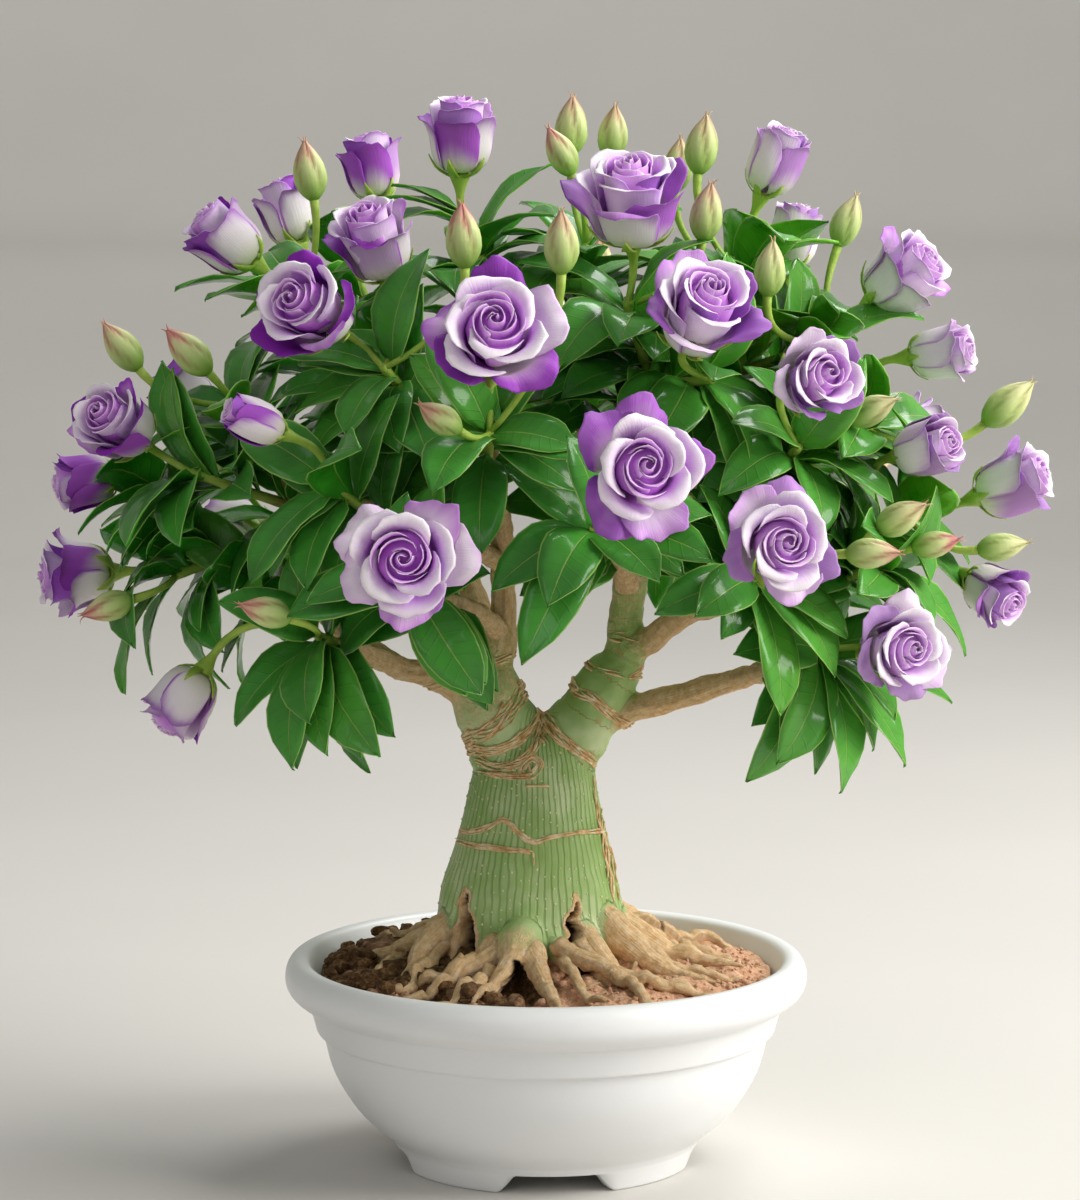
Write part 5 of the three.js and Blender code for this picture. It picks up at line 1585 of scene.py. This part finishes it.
def make_shoots():
    shoots, tip_count = [], 0
    for shoot in SHOOTS:
        shoots.append(stems_of(shoot, tip_count))
        tip_count += len(shoot["tips"])
    grow_leaves(shoots)
    finishes = [trunk_finish(), stem_finish(), leaf_finish(), bud_finish()]
    leaf_count = 0
    for number, (shoot, stems) in enumerate(zip(SHOOTS, shoots), 1):
        shape = Shape()
        add_twig(shape, shoot["wood"], number)
        for stem in stems:
            add_stem(shape, stem, number)
            for place in stem["blooms"]:
                add_pedicel(shape, stem["tip"], BLOOMS[place - 1])
            for index, place in enumerate(stem["buds"]):
                add_bud(shape, stem["tip"], place, 10 * stem["number"] + index)
            for leaf in stem["leaves"]:
                add_leaf(shape, leaf, leaf_count)
                leaf_count += 1
        shape.piece(f"shoot_{number:02d}", finishes, "foliage", f"spray_{number:02d}")


# Roses: each petal is a cup that rises from the foot to a lip and rolls back there
LIP = 0.78
ROSE_ROWS = {
    "heart": np.array([0, 0.5, 0.7, 0.78, 0.84, 0.9, 0.95, 1.0]),
    "middle": np.array([0, 0.33, 0.55, 0.7, 0.78, 0.84, 0.9, 0.95, 1.0]),
    "outer": np.array([0, 0.12, 0.26, 0.41, 0.55, 0.67, 0.77, 0.85, 0.92, 0.97, 1.0]),
}
ROSE_COLUMNS = {"heart": 11, "middle": 13, "outer": 19}
PETAL_THICKNESS = {"heart": 0.45, "middle": 0.5, "outer": 0.55}
# The closed body under the petals: radius and height, as shares of the rose's own
ROSE_CORE = np.array([
    (0.15, 0.2), (0.36, 0.38), (0.41, 0.6), (0.35, 0.72), (0.2, 0.8), (0.1, 0.84), (0.03, 0.86),
])


def petal_grid(
    rows, columns, turn, span, foot, lip, belly, lean, roll, reach, corner, point, skew, fold, wave, seed
):
    """Points of a petal. foot and lip are radius and height, lean the slope at the lip, roll how far the
    rim turns back over its length reach, corner how low its corners are and point how far its tip
    stands out. skew sets one edge over the next petal, and fold bends both edges back."""
    t = np.linspace(-1, 1, columns)[None, :]
    u = rows[:, None]
    ragged = 0.012 * np.sin(13 * t + TURN * draw(seed, 6, 8)) + 0.008 * np.sin(21 * t + seed)
    s = u * (1 - corner * np.abs(t) ** 2.7 + point * np.exp(-((t / 0.17) ** 2)) + ragged * u**3)
    c = np.clip(s / LIP, 0, 1)
    start, end = np.array(foot), np.array(lip)
    first = start + np.array([belly, 0.02 * belly])
    slope = np.array([math.cos(lean), math.sin(lean)])
    second = end - slope * 0.42 * np.linalg.norm(end - start)
    radius, height = (
        start[axis] * (1 - c) ** 3 + 3 * first[axis] * c * (1 - c) ** 2
        + 3 * second[axis] * c**2 * (1 - c) + end[axis] * c**3
        for axis in (0, 1)
    )
    over = np.clip((s - LIP) / (1 - LIP), 0, 1.4)
    rolled = roll * (0.85 + 0.3 * np.cos(2.2 * t + 5 * draw(seed, 1, 8)))
    curl = reach / np.maximum(rolled, 0.05)
    radius = radius + curl * (math.sin(lean) - np.sin(lean - rolled * over))
    height = height + curl * (np.cos(lean - rolled * over) - math.cos(lean))
    edge = t**2 * s**2
    radius = radius + skew * t * np.minimum(1, s * 2) - 0.5 * fold * edge
    height = height - fold * edge
    ruffle = wave * u**3 * np.sin((4 + 2 * draw(seed, 2, 8)) * t + TURN * draw(seed, 3, 8))
    ruffle = ruffle + 0.3 * wave * u**6 * np.sin(15 * t + TURN * draw(seed, 4, 8))
    height = height + ruffle
    radius = radius + 0.6 * ruffle
    angle = turn + span * t * (0.6 + 0.4 * ease(s, 0, 0.4)) + 0.04 * np.sin(4 * s + seed)
    radius = np.maximum(radius, 0.15)
    return np.stack([radius * np.cos(angle), radius * np.sin(angle), height + 0 * angle], -1)


def mixed(low, high, share):
    return low + (high - low) * share


def rose(bloom, index):
    """A rose standing on height 0: rolled heart, rolled-back middle petals and flared outer ones."""
    width, opened = bloom["width"], bloom["open"]
    radius, height = width / 2, bloom_height(bloom)
    start = draw(index, 3, 1) * TURN
    large = width > 44
    shape = Shape()
    # painted light: blooms further to the right are paler, some more than others
    pale = 0.34 * ease(bloom["at"][0], -70, 150) * (0.45 + 0.55 * draw(index, 1, 10))

    def petal(kind, number, ring, **form):
        rows, columns = ROSE_ROWS[kind], ROSE_COLUMNS[kind]
        seed = 40 * index + number
        grid = petal_grid(rows, columns, seed=seed, **form)
        rim = 1 - 0.6 * ease(rows, 0.75, 1)[:, None] + 0 * grid[..., 0]
        points, faces, back = blade(grid, PETAL_THICKNESS[kind] * rim)
        along = np.tile(np.repeat(rows, columns), 2)
        across = np.tile(np.tile(np.linspace(-1, 1, columns), len(rows)), 2)
        blush = bloom["violet"] * draw(seed, 5, 8)
        shape.add(points, faces, along=along, across=across, back=back, ring=ring, blush=blush, pale=pale)

    core = closed_skin(turned(ROSE_CORE * (radius, height), 14))
    shape.add(*core, along=0.6, across=0.0, ring=0.1, pale=pale)
    hearts = 9 if large else 8
    for number in range(hearts):
        share = number / (hearts - 1)
        uneven = 0.015 * math.sin(5 * number + index)
        far = radius * (0.05 + mixed(0.37, 0.35, opened) * share + uneven)
        turn = start + number * GOLDEN_TURN + 0.8 * (draw(index, number, 14) - 0.5)
        petal(
            "heart", number, 0.4 * share,
            turn=turn, span=1.8 - 0.7 * share + 0.3 * draw(index, number, 15),
            foot=(far * 0.6, height * 0.22), lip=(far, height * (0.98 - mixed(0.04, 0.12, opened) * share)),
            belly=far * 0.6, lean=math.radians(mixed(112, mixed(100, 84, opened), share)),
            roll=mixed(0.8, 1.5, share), reach=radius * mixed(0.035, 0.07, share),
            corner=0.16 + 0.16 * share, point=0.06 * share,
            skew=radius * mixed(0.03, 0.09, share), fold=0.0, wave=radius * 0.02,
        )
    middles = (6 if large else 5) if opened > 0.5 else 4
    for number in range(middles):
        share = number / (middles - 1)
        far = radius * mixed(mixed(0.46, 0.64, share), mixed(0.43, 0.66, share), opened)
        low = radius * mixed(0.3, 0.42, share)
        petal(
            "middle", 12 + number, 0.5 + 0.12 * share,
            turn=start + (hearts + number) * GOLDEN_TURN + 0.3,
            span=mixed(1.2, 0.95, share), foot=(low * 0.4, height * 0.1),
            lip=(far, height * mixed(0.93, mixed(0.87, 0.7, share), opened)), belly=low,
            lean=math.radians(mixed(96, mixed(70, 48, share), opened)),
            roll=mixed(0.8, mixed(1.9, 1.5, share), opened), reach=radius * mixed(0.11, 0.2, opened),
            corner=mixed(0.32, 0.26, opened), point=0.03, skew=radius * 0.08,
            fold=radius * 0.05 * opened, wave=radius * 0.035,
        )
    for number in range(5):
        out = 0.5 + 0.5 * math.sin(2.4 * number + index)
        flare = min(1, opened + 0.3 * (draw(index, number, 11) - 0.35))
        longer = 0.9 + 0.18 * draw(index, number, 16)
        petal(
            "outer", 20 + number, 0.76 + 0.04 * number,
            turn=start + number / 5 * TURN + 0.5 * (out - 0.5),
            span=mixed(0.95, 0.78, opened), foot=(radius * 0.08, height * 0.02),
            lip=(radius * mixed(0.72, 0.77 * longer, opened), height * mixed(0.84, 0.52, flare)),
            belly=radius * mixed(0.8, 0.62, opened), lean=math.radians(mixed(108, 34, flare)),
            roll=mixed(0.4, 1.4, out) * (0.6 + 0.5 * opened), reach=radius * mixed(0.17, 0.26, opened),
            corner=mixed(0.36, 0.3, opened), point=mixed(0.08, 0.05, opened), skew=radius * 0.08,
            fold=radius * mixed(0.02, 0.09, opened), wave=radius * mixed(0.03, 0.08, opened),
        )
    return shape


def make_roses():
    finish = petal_finish()
    for index, bloom in enumerate(BLOOMS):
        shape = rose(bloom, index)
        foot, facing = bloom_foot(bloom)
        standing = np.array(Vector((0, 0, 1)).rotation_difference(Vector(facing)).to_matrix())
        shape.points = [points @ standing.T + foot for points in shape.points]
        shape.piece(f"rose_{index + 1:02d}", [finish], "petals", f"bloom_{index + 1:02d}")


def make_backdrop():
    """A pale floor that sweeps up into a wall all round, far from the plant."""
    sweep = [(10, 0, 0), (3300, 0, 1200), (4900, 600, 1200), (5200, 4200, 0)]
    shape = Shape()
    points, faces = closed_skin(turned(rounded(sweep, 14)[:, :2], 96))
    shape.add(points[:-1], faces[(faces < len(points) - 1).all(1)][:, ::-1])
    floor = bpy.data.objects.new("floor", shape.mesh("floor"))
    floor.data.materials.append(floor_finish())
    scene.collection.objects.link(floor)


make_bowl()
make_soil()
skin = make_trunk()
make_rootlets()
make_fibres(skin)
make_pores(skin)
make_shoots()
make_roses()
make_backdrop()
